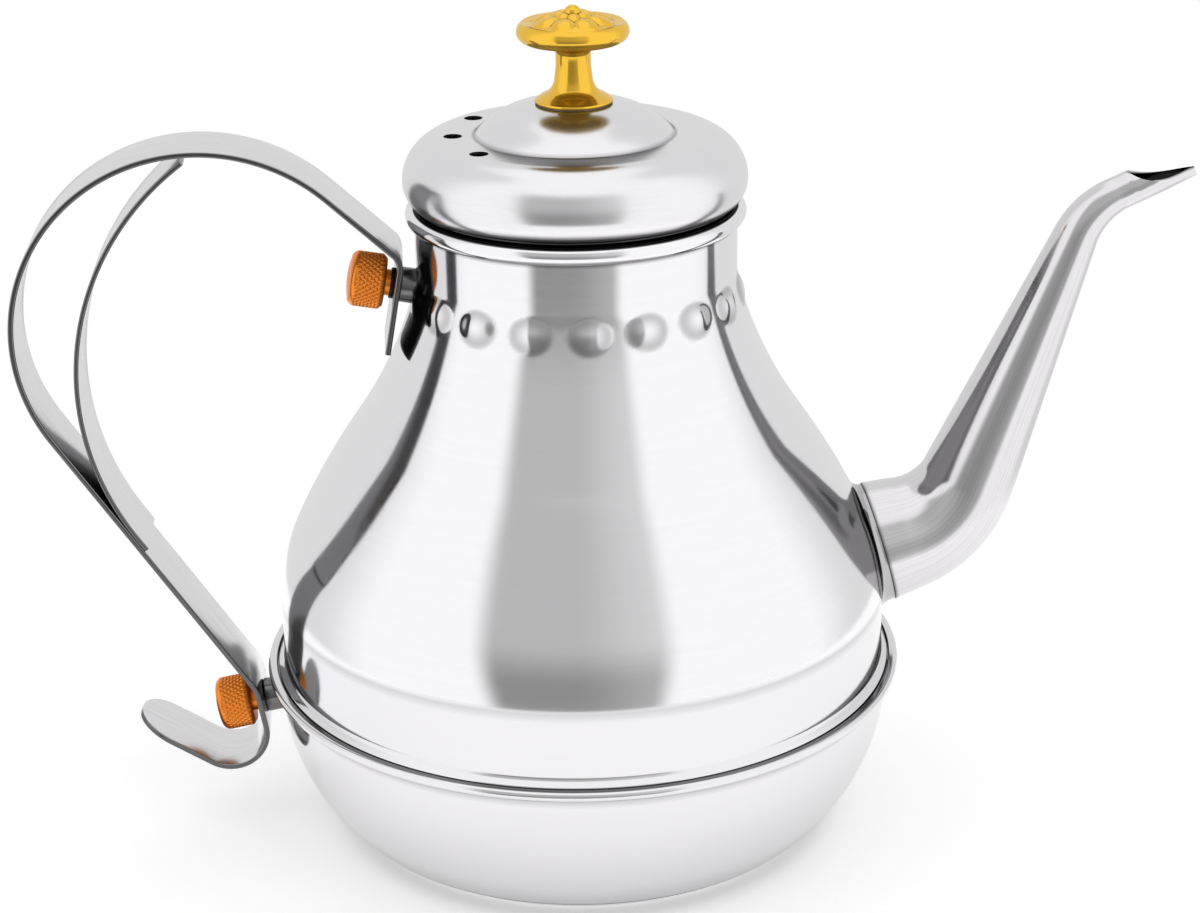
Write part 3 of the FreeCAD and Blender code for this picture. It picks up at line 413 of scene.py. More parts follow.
def outline(corners, count=10):
    """Polyline (radius, height) through corners; a corner's third value is the radius of the arc
    on to the next corner, positive where it turns left."""
    stretches = []
    for corner, after in zip(corners, corners[1:]):
        start, stop = np.array(corner[:2]), np.array(after[:2])
        if len(corner) == 2:
            stretches.append(start[None])
            continue
        chord = stop - start
        side = np.array([-chord[1], chord[0]]) / np.linalg.norm(chord)
        radius, turn = abs(corner[2]), math.copysign(1.0, corner[2])
        rise = math.sqrt(max(radius**2 - chord @ chord / 4, 0.0))
        centre = (start + stop) / 2 + side * rise * turn
        first = math.atan2(*(start - centre)[::-1])
        sweep = 2 * math.asin(min(math.sqrt(chord @ chord) / 2 / radius, 1.0)) * turn
        angles = first + np.linspace(0.0, sweep, count)[:-1]
        stretches.append(centre + radius * np.column_stack([np.cos(angles), np.sin(angles)]))
    stretches.append(np.array(corners[-1][:2])[None])
    return np.concatenate(stretches)


def cap_bend(radius, rise):
    """Ball radius of a round cap: its radius squared plus its rise squared, over twice the rise."""
    return (radius**2 + rise**2) / (2 * rise)


def ring_corners(bore, rim, low, thick, edge):
    """Outline of a flat ring whose outer edge is rounded."""
    return [
        (bore, low),
        (rim - edge, low, edge),
        (rim, low + edge),
        (rim, low + thick - edge, edge),
        (rim - edge, low + thick),
        (bore, low + thick),
    ]


def nearness(distance, reach):
    """1 where the distance is 0, falling evenly to 0 at the reach."""
    return np.clip(1.0 - distance / reach, 0.0, 1.0)


# Surfaces: grids of points, rows by columns, made into meshes

def column_angles(columns):
    """Angles of the columns of a turned grid: even shares of a whole turn."""
    return np.arange(columns) * (2 * math.pi / columns)


def turned(radii, heights, columns):
    """Grid of a turned surface: (r cos a, r sin a, h); radii may differ from column to column."""
    turns = column_angles(columns)
    radii = np.broadcast_to(np.asarray(radii).reshape(len(heights), -1), (len(heights), columns))
    levels = np.broadcast_to(np.asarray(heights).reshape(len(heights), -1), radii.shape)
    return np.stack([radii * np.cos(turns), radii * np.sin(turns), levels], axis=-1)


def grid_quads(rows, columns, wrap_rows=False, wrap_columns=True):
    """Corner numbers of a grid's cells, as an array rows by columns by 4."""
    index = np.arange(rows * columns).reshape(rows, columns)
    beside = np.roll(index, -1, axis=1)
    above, corner = np.roll(index, -1, axis=0), np.roll(beside, -1, axis=0)
    quads = np.stack([index, beside, corner, above], axis=-1)
    return quads[:None if wrap_rows else -1, :None if wrap_columns else -1]


def bar_faces(rows, columns):
    """Faces of a bar: the cells of its grid and a flat face at each end."""
    faces = grid_quads(rows, columns).reshape(-1, 4).tolist()
    return faces + [list(range(columns))[::-1], list(range((rows - 1) * columns, rows * columns))]


def cell_middles(grid):
    """Middle of each cell of a grid that goes all the way round: half way between two corners."""
    return (grid[:-1] + np.roll(grid, -1, axis=1)[1:]) / 2


def both_walls(outer, inner):
    """Points of an outer grid, and after them those of an inner one."""
    return np.concatenate([outer.reshape(-1, 3), inner.reshape(-1, 3)])


def walled(front, edges, back):
    """Faces of a closed wall: its front, the same faces turned over on the inner points, whose numbers
    are higher by back, and a face across the wall at each open edge."""
    across = np.concatenate([edges, edges[:, ::-1] + back], axis=1)
    return np.concatenate([front, front[:, ::-1] + back, across])


def shell_faces(rows, columns, cut):
    """Faces of a closed wall between an outer and an inner grid of the same size. Cells marked in
    cut are left out, and the edges that this opens are walled."""
    quads = grid_quads(rows, columns)
    keep = ~cut
    low = quads[0][:, [1, 0]]
    high = quads[-1][:, [3, 2]]
    aside = keep != np.roll(keep, -1, axis=1)
    upright = quads[aside][:, [1, 2]]
    over = keep[:-1] != keep[1:]
    level = quads[:-1][over][:, [2, 3]]
    return walled(quads[keep], np.concatenate([low, high, upright, level]), rows * columns)


def add_piece(name, points, faces, material, nodes, sharp=40.0, place=None, shade=None, grain=None,
              lining=None):
    """Mesh object from an array of points and faces, welded, faces outwards, in place of nodes. For
    each point, shade says how much painted shade darkens it, and grain is a place along its brushing
    lines. Lining is the first point of the inner wall, which is left unpolished."""
    points = np.asarray(points, float).reshape(-1, 3)
    if place is not None:
        turn = np.array(place)
        points = points @ turn[:3, :3].T + turn[:3, 3]
    mesh = bpy.data.meshes.new(name)
    mesh.from_pydata(points.tolist(), [], [list(face) for face in faces])
    mesh.materials.append(material)
    if lining is not None:
        mesh.materials.append(bare_steel())
        mesh.polygons.foreach_set("material_index", (faces.min(axis=1) >= lining).astype(np.int32))
    if shade is not None:
        shades = mesh.attributes.new("shade", "FLOAT", "POINT")
        shades.data.foreach_set("value", np.ravel(shade))
    if grain is not None:
        lines = mesh.attributes.new("grain", "FLOAT_VECTOR", "POINT")
        lines.data.foreach_set("vector", np.ravel(grain))
    work = bmesh.new()
    work.from_mesh(mesh)
    bmesh.ops.remove_doubles(work, verts=work.verts, dist=WELD)
    bmesh.ops.dissolve_degenerate(work, edges=work.edges, dist=VANISHING)
    bmesh.ops.recalc_face_normals(work, faces=work.faces)
    work.to_mesh(mesh)
    work.free()
    mesh.shade_smooth()
    mesh.set_sharp_from_angle(angle=math.radians(sharp))
    piece = bpy.data.objects.new(name, mesh)
    bpy.context.scene.collection.objects.link(piece)
    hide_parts(*nodes)
    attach(piece, BODY_OF[nodes[0]])
    return piece


def add_turned(name, corners, material, node, columns=96, place=None, count=10, loop=True,
               shade=0.0, shade_from=0.0):
    """Solid of revolution from an outline; loop closes the outline on itself. Above the height
    shade_from it is darkened by shade."""
    rows = outline(corners + corners[:1], count)[:-1] if loop else outline(corners, count)
    grid = turned(rows[:, 0], rows[:, 1], columns)
    faces = grid_quads(len(rows), columns, wrap_rows=loop).reshape(-1, 4)
    return add_piece(name, grid, faces, material, [node], place=place,
                     shade=np.where(grid[..., 2] >= shade_from, shade, 0.0), grain=spin_grain(grid))


# Paths in the XZ plane

def trace(start, heading, runs, spacing):
    """Points, headings and travelled lengths along a path. A run is (length, turn): where it turns,
    the place is the start plus length over turn times (sin h - sin h0, cos h0 - cos h)."""
    places, headings, lengths = [np.array([start])], [np.array([heading])], [np.zeros(1)]
    for distance, turn in runs:
        count = max(2, int(math.ceil(distance / spacing)), int(math.ceil(abs(turn) / PATH_TURN)))
        t = np.linspace(0.0, 1.0, count + 1)[1:]
        origin, first = places[-1][-1], headings[-1][-1]
        bearing = first + turn * t
        if turn:
            steps = np.column_stack([np.sin(bearing) - math.sin(first),
                                     math.cos(first) - np.cos(bearing)]) * (distance / turn)
        else:
            steps = t[:, None] * distance * [math.cos(first), math.sin(first)]
        places.append(origin + steps)
        headings.append(bearing)
        lengths.append(lengths[-1][-1] + t * distance)
    return np.concatenate(places), np.concatenate(headings), np.concatenate(lengths)


def bend_run(radius, turn):
    """Run that turns by an angle on a radius: its length is the radius times the angle."""
    return radius * abs(turn), turn


def axis_place(point, direction):
    """Matrix that stands a piece, drawn along +Z from the origin, on a point along a direction."""
    turn = Vector((0, 0, 1)).rotation_difference(Vector(direction)).to_matrix().to_4x4()
    return Matrix.Translation(Vector(point)) @ turn


def spin_grain(grid):
    """Place along the spinning lines of a turned grid: the length along its profile, and a little of
    the turn."""
    steps = np.linalg.norm(np.diff(grid[:, 0], axis=0), axis=1)
    along = np.concatenate([[0.0], np.cumsum(steps)])
    turn = np.arctan2(grid[..., 1], grid[..., 0])
    return np.stack([np.broadcast_to(along[:, None], turn.shape),
                     SPIN_DRIFT * np.cos(turn), SPIN_DRIFT * np.sin(turn)], axis=-1)


# Body curves

def bell_profile():
    """Outer rows of the bell, from the top of the seam's flange to the end of the neck, and the rows
    of the rolled rim above them."""
    size, count = settings("kettle_body"), BELL_ROWS
    step_height, brow_arc, slant = size.wall * 0.75, size.wall / 2, size.seam_slant
    start = np.array([size.band_radius + size.seam_step, BELL_LOW.z + size.wall, 0.0])
    step = run_rows(start, step_height, count["step"])
    brow = arc_rows(step[-1], brow_arc, slant, count["brow"])
    bends = (brow_arc + size.seam_cove) * (1.0 - math.cos(slant))
    foot = run_rows(brow[-1], (size.seam_step - bends) / math.sin(slant), count["foot"])
    cove = arc_rows(foot[-1], size.seam_cove, 0.0, count["cove"], hollow=True)
    band = run_rows(cove[-1], size.crease_height - cove[-1][1], count["band"])
    crease = leaning(band[-1], size.crease_lean)
    shoulder = arc_rows(crease, size.shoulder_arc, size.shoulder_lean, count["shoulder"])
    flank = arc_rows(shoulder[-1], size.flank_arc, size.flank_lean, count["flank"])
    waist = arc_rows(flank[-1], size.waist_arc, size.waist_lean, count["waist"], hollow=True)
    neck = arc_rows(waist[-1], size.neck_arc, 0.0, count["neck"], hollow=True)
    rim = BELL_HIGH.z - 2 * size.rim_bead
    throat = run_rows(neck[-1], rim - neck[-1][1], count["throat"])
    bead = arc_rows(leaning(throat[-1], -math.pi / 2), size.rim_bead, math.pi / 2, count["bead"])
    return joined(step, brow, foot, cove, band, shoulder, flank, waist, neck, throat), bead


def bell_radius(heights):
    """Outer radius of the bell at given heights, read between the rows of its profile."""
    rows = bell_profile()[0]
    return np.interp(heights, rows[:, 1], rows[:, 0])


def with_domes(radii, heights, turns, neck):
    """Radii of a wall with a ring of ball-shaped domes, and a ring of painted shade round each dome: on
    each column the ball's far side is c cos d + sqrt(R^2 - h^2 - (c sin d)^2), joined to the wall by a
    smooth maximum, and the painted shade is strongest where the two have equal shares."""
    size, mark = settings("kettle_body"), settings("kettle_shade").dome_painted_shade
    step = 2 * math.pi / size.dome_count
    aside = (turns % step) - step / 2
    centre = neck + size.dome_proud - size.dome_radius
    rise = size.dome_radius**2 - (heights - size.dome_height)**2 - (centre * np.sin(aside))**2
    ball = np.where(rise > 0, centre * np.cos(aside) + np.sqrt(np.maximum(rise, 0.0)), 0.0)
    share = np.clip(0.5 + 0.5 * (ball - radii) / size.dome_blend, 0.0, 1.0)
    edge = share * (1.0 - share)
    return radii + (ball - radii) * share + size.dome_blend * edge, 4.0 * mark * edge


def spout_axis():
    """Lower end of the spout and the direction in which it leaves the bell."""
    size = settings("kettle_spout")
    point = np.array([size.root_reach, 0.0, size.root_height])
    return point, np.array([math.cos(size.root_angle), 0.0, math.sin(size.root_angle)])


def strap_runs():
    """Heading of the strap at its upper end, and its runs from there to the hook's tip."""
    size = settings("kettle_handle")
    heading = math.pi / 2 - size.lean
    return heading, [
        (size.end_run, 0.0),
        bend_run(size.top_bend, size.rise - heading),
        (size.rise_run, 0.0),
        bend_run(size.loop_arc, size.loop_turn),
        (size.fall_run, 0.0),
        bend_run(size.foot_bend, -size.foot_turn),
        (size.foot_run, 0.0),
        bend_run(size.hook_arc, -size.hook_turn),
        (size.hook_run, 0.0),
    ]


# Shader nodes

def math_node(tree, operation, first, second=None):
    """One sum on numbers or other nodes' values."""
    node = tree.nodes.new("ShaderNodeMath")
    node.operation = operation
    for socket, value in zip(node.inputs, (first, second)):
        if value is None:
            continue
        if isinstance(value, (int, float)):
            socket.default_value = value
        else:
            tree.links.new(value, socket)
    return node.outputs["Value"]


def ramp(tree, value, start, stop):
    """0 before start, 1 after stop and a smooth step between."""
    node = tree.nodes.new("ShaderNodeMapRange")
    node.interpolation_type = "SMOOTHSTEP"
    node.inputs["From Min"].default_value = start
    node.inputs["From Max"].default_value = stop
    tree.links.new(value, node.inputs["Value"])
    return node.outputs["Result"]


def fall(tree, value, start, stop):
    """1 before start, 0 after stop and a smooth step between."""
    return math_node(tree, "SUBTRACT", 1.0, ramp(tree, value, start, stop))


def product(tree, first, *others):
    """All the values multiplied."""
    for other in others:
        first = math_node(tree, "MULTIPLY", first, other)
    return first


def mixed(tree, share, first, second):
    """First where the share is 0, second where it is 1."""
    node = tree.nodes.new("ShaderNodeMix")
    tree.links.new(share, node.inputs["Factor"])
    for name, value in (("A", first), ("B", second)):
        if isinstance(value, float):
            node.inputs[name].default_value = value
        else:
            tree.links.new(value, node.inputs[name])
    return node.outputs["Result"]


# Materials

def new_material(name):
    """A fresh material, its node tree and its shader."""
    material = bpy.data.materials.new(name)
    material.use_nodes = True
    return material, material.node_tree, material.node_tree.nodes["Principled BSDF"]


def speckle(tree, scale, detail):
    """Noise fixed to the object, of a given fineness."""
    place = tree.nodes.new("ShaderNodeTexCoord")
    noise = tree.nodes.new("ShaderNodeTexNoise")
    noise.inputs["Scale"].default_value = scale
    noise.inputs["Detail"].default_value = detail
    tree.links.new(place.outputs["Object"], noise.inputs["Vector"])
    return noise.outputs["Fac"]


def spread(tree, value, low, high, start=0.3, stop=0.7):
    """Noise value spread between two numbers."""
    node = tree.nodes.new("ShaderNodeMapRange")
    node.inputs["From Min"].default_value = start
    node.inputs["From Max"].default_value = stop
    node.inputs["To Min"].default_value = low
    node.inputs["To Max"].default_value = high
    tree.links.new(value, node.inputs["Value"])
    return node.outputs["Result"]


def add_bump(tree, shader, value, strength):
    """Fine relief of a surface that follows a value."""
    bump = tree.nodes.new("ShaderNodeBump")
    bump.inputs["Strength"].default_value = strength
    bump.inputs["Distance"].default_value = GRAIN_DEPTH
    tree.links.new(value, bump.inputs["Height"])
    tree.links.new(bump.outputs["Normal"], shader.inputs["Normal"])


def attribute(tree, name, socket):
    """Value that a mesh carries at its points."""
    node = tree.nodes.new("ShaderNodeAttribute")
    node.attribute_name = name
    return node.outputs[socket]


def metal(name, tint, gloss, haze, grain, grain_scale, mirror=1.0):
    """Metal whose gloss varies in soft patches (haze) and whose surface has a fine grain. Mirror is
    the share that reflects as bare metal; the rest scatters the light."""
    material, tree, shader = new_material(name)
    shader.inputs["Base Color"].default_value = (*tint, 1.0)
    shader.inputs["Metallic"].default_value = mirror
    patches = speckle(tree, scale=45.0, detail=4.0)
    tree.links.new(spread(tree, patches, gloss, gloss + haze), shader.inputs["Roughness"])
    add_bump(tree, shader, speckle(tree, grain_scale, detail=2.0), grain)
    return material


def brushed(name, tint, gloss, haze, line_scale, line_tone, line_bump):
    """Sheet metal: darkened towards the painted shade colour where the shade attribute says so, with
    fine brushing lines along grain that vary its tone, gloss and surface, and soft patches of haze."""
    look, shades = settings("kettle_finish"), settings("kettle_shade")
    material, tree, shader = new_material(name)
    shader.inputs["Metallic"].default_value = 1.0
    lines = tree.nodes.new("ShaderNodeTexNoise")
    lines.inputs["Scale"].default_value = line_scale
    lines.inputs["Detail"].default_value = 5.0
    tree.links.new(attribute(tree, "grain", "Vector"), lines.inputs["Vector"])
    streak = lines.outputs["Fac"]
    tone = tree.nodes.new("ShaderNodeMix")
    tone.data_type = "RGBA"
    tone.inputs["A"].default_value = (*tint, 1.0)
    tone.inputs["B"].default_value = (*(channel * shades.brushing for channel in tint), 1.0)
    tree.links.new(spread(tree, streak, 0.0, line_tone, start=0.42, stop=0.68), tone.inputs["Factor"])
    # Painted shade: base colour mixed towards the painted shade colour by the shade attribute
    painted_shade_colour = tree.nodes.new("ShaderNodeMix")
    painted_shade_colour.data_type = "RGBA"
    painted_shade_colour.inputs["B"].default_value = (*look.painted_shade_colour, 1.0)
    tree.links.new(attribute(tree, "shade", "Fac"), painted_shade_colour.inputs["Factor"])
    tree.links.new(tone.outputs["Result"], painted_shade_colour.inputs["A"])
    tree.links.new(painted_shade_colour.outputs["Result"], shader.inputs["Base Color"])
    patches = spread(tree, speckle(tree, scale=60.0, detail=4.0), gloss, gloss + haze)
    rough = math_node(tree, "ADD", patches, spread(tree, streak, 0.0, haze, start=0.4, stop=0.7))
    tree.links.new(rough, shader.inputs["Roughness"])
    add_bump(tree, shader, streak, line_bump)
    return material


def polished_steel():
    look = settings("kettle_finish")
    return brushed("polished_steel", look.steel, look.steel_gloss, haze=0.02,
                   line_scale=900.0, line_tone=0.02, line_bump=0.004)


def spun_lid():
    look = settings("kettle_finish")
    return brushed("spun_lid", look.lid, look.lid_gloss, haze=0.03,
                   line_scale=4000.0, line_tone=0.03, line_bump=0.01)


def drawn_tube():
    look = settings("kettle_finish")
    return brushed("drawn_tube", look.tube, look.tube_gloss, haze=0.03,
                   line_scale=900.0, line_tone=0.16, line_bump=0.03)


def polished_strip():
    look = settings("kettle_finish")
    return brushed("polished_strip", look.strip, look.strip_gloss, haze=0.05,
                   line_scale=1600.0, line_tone=0.12, line_bump=0.05)


def bare_steel():
    look = settings("kettle_finish")
    found = bpy.data.materials.get("bare_steel")
    return found or metal("bare_steel", look.bare, gloss=0.4, haze=0.15,
                          grain=0.1, grain_scale=1500.0, mirror=0.35)


def turned_steel():
    look = settings("kettle_finish")
    return metal("turned_steel", look.thread, gloss=0.28, haze=0.1,
                 grain=0.1, grain_scale=2500.0)


def near_black_steel():
    look = settings("kettle_finish")
    return metal("near_black_steel", look.dark, gloss=0.35, haze=0.15,
                 grain=0.15, grain_scale=2500.0)


def copper_brass():
    look = settings("kettle_finish")
    return metal("copper_brass", look.copper, gloss=0.25, haze=0.08,
                 grain=0.08, grain_scale=2200.0, mirror=0.85)


def gold_plate():
    look = settings("kettle_finish")
    return metal("gold_plate", look.gold, gloss=0.10, haze=0.06,
                 grain=0.04, grain_scale=1800.0, mirror=0.86)


def rolled_aluminium():
    look = settings("kettle_finish")
    return metal("rolled_aluminium", look.aluminium, gloss=0.35, haze=0.1,
                 grain=0.15, grain_scale=900.0)


FINISHES = {
    "polished_steel": polished_steel,
    "strap_steel": polished_strip,
    "thread_steel": turned_steel,
    "dark_steel": near_black_steel,
    "copper_brass": copper_brass,
    "gold_brass": gold_plate,
    "spreader_aluminium": rolled_aluminium,
}


def finish_of(node):
    """Material of a node's slot, made the first time it is asked for."""
    slot = SLOT_OF[node]
    found = bpy.data.materials.get(f"finish_{slot}")
    if found is None:
        found = FINISHES[slot]()
        found.name = f"finish_{slot}"
    return found


# Operators, one for each piece or group of like pieces

class KETTLE_OT_base(Operator):
    """Base cap with its rounded corner, and the heat-spreading disc inside it"""

    bl_idname = "kettle.base"
    bl_label = "Base"

    def execute(self, context):
        size = settings("kettle_body")
        radius, top, corner = BASE_HIGH.x, BASE_HIGH.z, size.base_corner
        inner = radius - size.wall
        add_turned("base", [
            (0.0, 0.0),
            (radius - corner, 0.0, corner),
            (radius, corner),
            (radius, top),
            (inner, top),
            (inner, corner, -(corner - size.wall)),
            (radius - corner, size.wall),
            (0.0, size.wall),
        ], finish_of("base_cap"), "base_cap", columns=160, loop=False)
        core = frame["nodes"]["base_core"]
        core.data.materials.clear()
        core.data.materials.append(finish_of("base_core"))
        return {"FINISHED"}


class KETTLE_OT_bowl(Operator):
    """Bowl with its rim folded over the bell's flange"""

    bl_idname = "kettle.bowl"
    bl_label = "Bowl"

    def execute(self, context):
        size, shades = settings("kettle_body"), settings("kettle_shade")
        wall, arc, wide = size.wall, size.bowl_arc, size.bowl_radius
        low, seam, middle = BOWL_LOW.z, BOWL_HIGH.x, size.seam_height
        fold, lip = wall * 1.5, wall / 2
        tuck, shadow = lip * 0.6, lip * 1.6
        centre = wide - arc
        foot = centre + math.sqrt(arc**2 - (size.bowl_top - low)**2)
        inner_foot = centre + math.sqrt((arc - wall)**2 - (size.bowl_top - low - wall)**2)
        mouth = size.band_radius + size.seam_step + size.seam_gap
        rows = outline([
            (0.0, low),
            (foot, low, arc),
            (wide, size.bowl_top),
            (wide, middle - fold - lip, -lip),
            (wide + lip, middle - fold),
            (seam - fold, middle - fold, fold),
            (seam, middle, fold),
            (seam - fold, middle + fold),
            (mouth + lip, middle + fold, lip),
            (mouth, middle + fold - lip, lip),
            (mouth + lip, middle + lip),
            (seam - fold, middle + lip),
            (seam - fold, middle - lip),
            (wide - wall, middle - lip),
            (wide - wall, size.bowl_top, -(arc - wall)),
            (inner_foot, low + wall),
            (0.0, low + wall),
        ], count=28)
        columns = 256
        grid = turned(rows[:, 0], rows[:, 1], columns)
        faces = grid_quads(len(rows), columns).reshape(-1, 4)
        # Painted shade: dark inside the seam's fold, where the bowl meets the base and under the seam's bead, and
        # a little over the whole bowl
        in_fold = (rows[:, 1] > middle) & (rows[:, 0] > size.band_radius)
        under_bead = np.hypot(rows[:, 0] - wide - lip, rows[:, 1] - middle + fold + lip / 2)
        shade = np.maximum.reduce([
            np.where(in_fold, np.clip((mouth + tuck - rows[:, 0]) / lip, 0.0, 1.0), 0.0),
            shades.bowl_foot_shade * nearness(rows[:, 1] - low, wall),
            np.clip((shadow - under_bead) / lip, 0.0, shades.bead_shadow),
            np.full(len(rows), shades.lower_painted_shade),
        ])
        inside = np.flatnonzero(np.isclose(rows[:, 0], wide - wall))[0]
        add_piece("bowl", grid, faces, finish_of("bowl_shell"), ["bowl_shell"],
                  shade=np.repeat(shade, columns), grain=spin_grain(grid), lining=inside * columns)
        return {"FINISHED"}


class KETTLE_OT_bell(Operator):
    """Bell with flange, crease, ring of domes, neck and rolled rim, open where the spout leaves"""

    bl_idname = "kettle.bell"
    bl_label = "Bell"

    def execute(self, context):
        size, shades = settings("kettle_body"), settings("kettle_shade")
        side, bead = bell_profile()
        columns = size.dome_count * DOME_COLUMNS
        flange = np.array([
            [BELL_HIGH.x, BELL_LOW.z],
            [BELL_HIGH.x, BELL_LOW.z + size.wall],
        ])
        heights = np.concatenate([flange[:, 1], side[:, 1], bead[1:, 1]])
        neck = side[-1, 0]
        wall_radii, marks = with_domes(side[:, :1], side[:, 1:2], column_angles(columns), neck)
        radii = np.concatenate([np.repeat(flange[:, :1], columns, axis=1), wall_radii,
                                np.repeat(bead[1:, :1], columns, axis=1)])
        outer = turned(radii, heights, columns)
        below = np.column_stack([np.full(2, size.band_radius - size.wall),
                                 np.linspace(BELL_LOW.z, BELL_LOW.z + size.wall / 2, 2)])
        above = np.column_stack([np.full(len(bead) - 1, neck - size.wall), bead[1:, 1]])
        inner_rows = np.concatenate([below, set_in(side, size.wall), above])
        inner = turned(inner_rows[:, 0], inner_rows[:, 1], columns)
        middle = cell_middles(outer)
        point, axis = spout_axis()
        along = (middle - point) @ axis
        away = np.linalg.norm(middle - point - along[..., None] * axis, axis=-1)
        bore = settings("kettle_spout").root_diameter / 2 - 2 * size.wall
        cut = (away < bore) & (middle[..., 0] > 0)
        faces = shell_faces(len(heights), columns, cut)
        # Painted shade: dark in the seam's groove, a line along the crease, a little below the crease, under the
        # rolled rim, and a ring round each dome
        fold_top, crease_width = BELL_LOW.z + 1.7 * size.wall, 1.5 * size.wall
        bead_low = BELL_HIGH.z - 2 * size.rim_bead
        levels = np.maximum.reduce([
            np.clip((fold_top - heights) / size.wall, 0.0, 1.0),
            shades.crease * nearness(np.abs(heights - size.crease_height), crease_width),
            np.where(heights < size.crease_height, shades.lower_painted_shade, 0.0),
            shades.rim_painted_shade * nearness(np.abs(heights - bead_low), size.wall),
        ])
        shade = np.repeat(np.tile(levels, 2)[:, None], columns, axis=1)
        wall_shade = shade[len(flange):len(flange) + len(side)]
        np.maximum(wall_shade, marks, out=wall_shade)
        add_piece("bell", both_walls(outer, inner), faces, finish_of("bell_shell"), ["bell_shell"],
                  shade=shade, grain=both_walls(spin_grain(outer), spin_grain(inner)),
                  lining=len(heights) * columns)
        return {"FINISHED"}


class KETTLE_OT_spout(Operator):
    """Tapering gooseneck tube with a scooped mouth"""

    bl_idname = "kettle.spout"
    bl_label = "Spout"

    def execute(self, context):
        size, wall = settings("kettle_spout"), settings("kettle_body").wall
        slit = wall * 0.1
        point = spout_axis()[0]
        runs = [
            (size.root_run, 0.0),
            bend_run(size.elbow_arc, size.riser_angle - size.root_angle),
            (size.riser_run, 0.0),
            bend_run(size.bend_arc, size.mouth_angle - size.riser_angle),
            (size.mouth_run, 0.0),
        ]
        places, headings, travelled = trace((point[0], point[2]), size.root_angle, runs, TUBE_STEP)
        knots = np.cumsum([0.0] + [run[0] for run in runs])[[0, 2, 3, 4]]
        diameters = [size.root_diameter, size.riser_diameter, size.bend_diameter, size.mouth_diameter]
        radii = np.interp(travelled, knots, diameters) / 2
        nearing = np.clip((travelled - travelled[-1]) / size.lip_length + 1.0, 0.0, 1.0)
        widths = radii * (1.0 - (1.0 - size.lip_width) * nearing**2)
        reach = self.reach(places, headings, radii) * (1.0 - (1.0 - size.lip_height) * nearing**3)
        columns = 97
        outer = self.tube(places, headings, radii, widths, reach, columns)
        inner = self.tube(places, headings, radii - wall, np.maximum(widths - wall, slit), reach, columns)
        quads = grid_quads(len(places), columns, wrap_columns=False)
        open_rows = reach < math.pi - WELD
        split = open_rows[:-1] | open_rows[1:]
        edges = np.concatenate([quads[0][:, [1, 0]], quads[-1][:, [3, 2]],
                                quads[split, 0][:, [0, 3]], quads[split, -1][:, [2, 1]]])
        back = len(places) * columns
        faces = walled(quads.reshape(-1, 4), edges, back)
        # Painted shade: dark where the spout enters its socket, and all over its inner wall
        joint = settings("kettle_shade").spout_joint_shade * nearness(travelled, size.joint_shade_reach)
        shade = np.concatenate([np.repeat(joint, columns), np.ones(back)])
        turn = reach[:, None] * np.linspace(-1.0, 1.0, columns)
        along = np.repeat(travelled[:, None], columns, axis=1)
        grain = np.stack([np.cos(turn), np.sin(turn), along], axis=-1) * TUBE_DRAW
        add_piece("spout", both_walls(outer, inner), faces, drawn_tube(), ["spout_tube"],
                  shade=shade, grain=both_walls(grain, grain))
        return {"FINISHED"}

    def reach(self, places, headings, radii):
        """How far round from its underside the tube's wall goes at each station: all the way, or up
        to where the scoop's circle cuts it."""
        size = settings("kettle_spout")
        round_angles = np.linspace(0.0, math.pi, SCOOP_ANGLES)
        x, z = self.section(places, headings, radii, round_angles)
        away = np.hypot(x - size.scoop_reach, z - size.scoop_height)
        inside = (away < size.scoop_radius) & (places[:, :1] > size.scoop_reach - size.scoop_radius)
        first = np.argmax(inside, axis=1)
        return np.where(inside.any(axis=1), round_angles[first], math.pi)

    def section(self, places, headings, radii, round_angles):
        """X and Z of points round the tube: the place minus radius times cos angle times the normal."""
        drop = radii[:, None] * np.cos(round_angles)
        return (places[:, :1] + drop * np.sin(headings)[:, None],
                places[:, 1:] - drop * np.cos(headings)[:, None])

    def tube(self, places, headings, radii, widths, reach, columns):
        """Grid of the tube: at each station, angles from minus reach to plus reach round the axis,
        on an ellipse as wide as widths and as high as radii."""
        share = np.linspace(-1.0, 1.0, columns)
        round_angles = reach[:, None] * share
        x, z = self.section(places, headings, radii, round_angles)
        return np.stack([x, widths[:, None] * np.sin(round_angles), z], axis=-1)


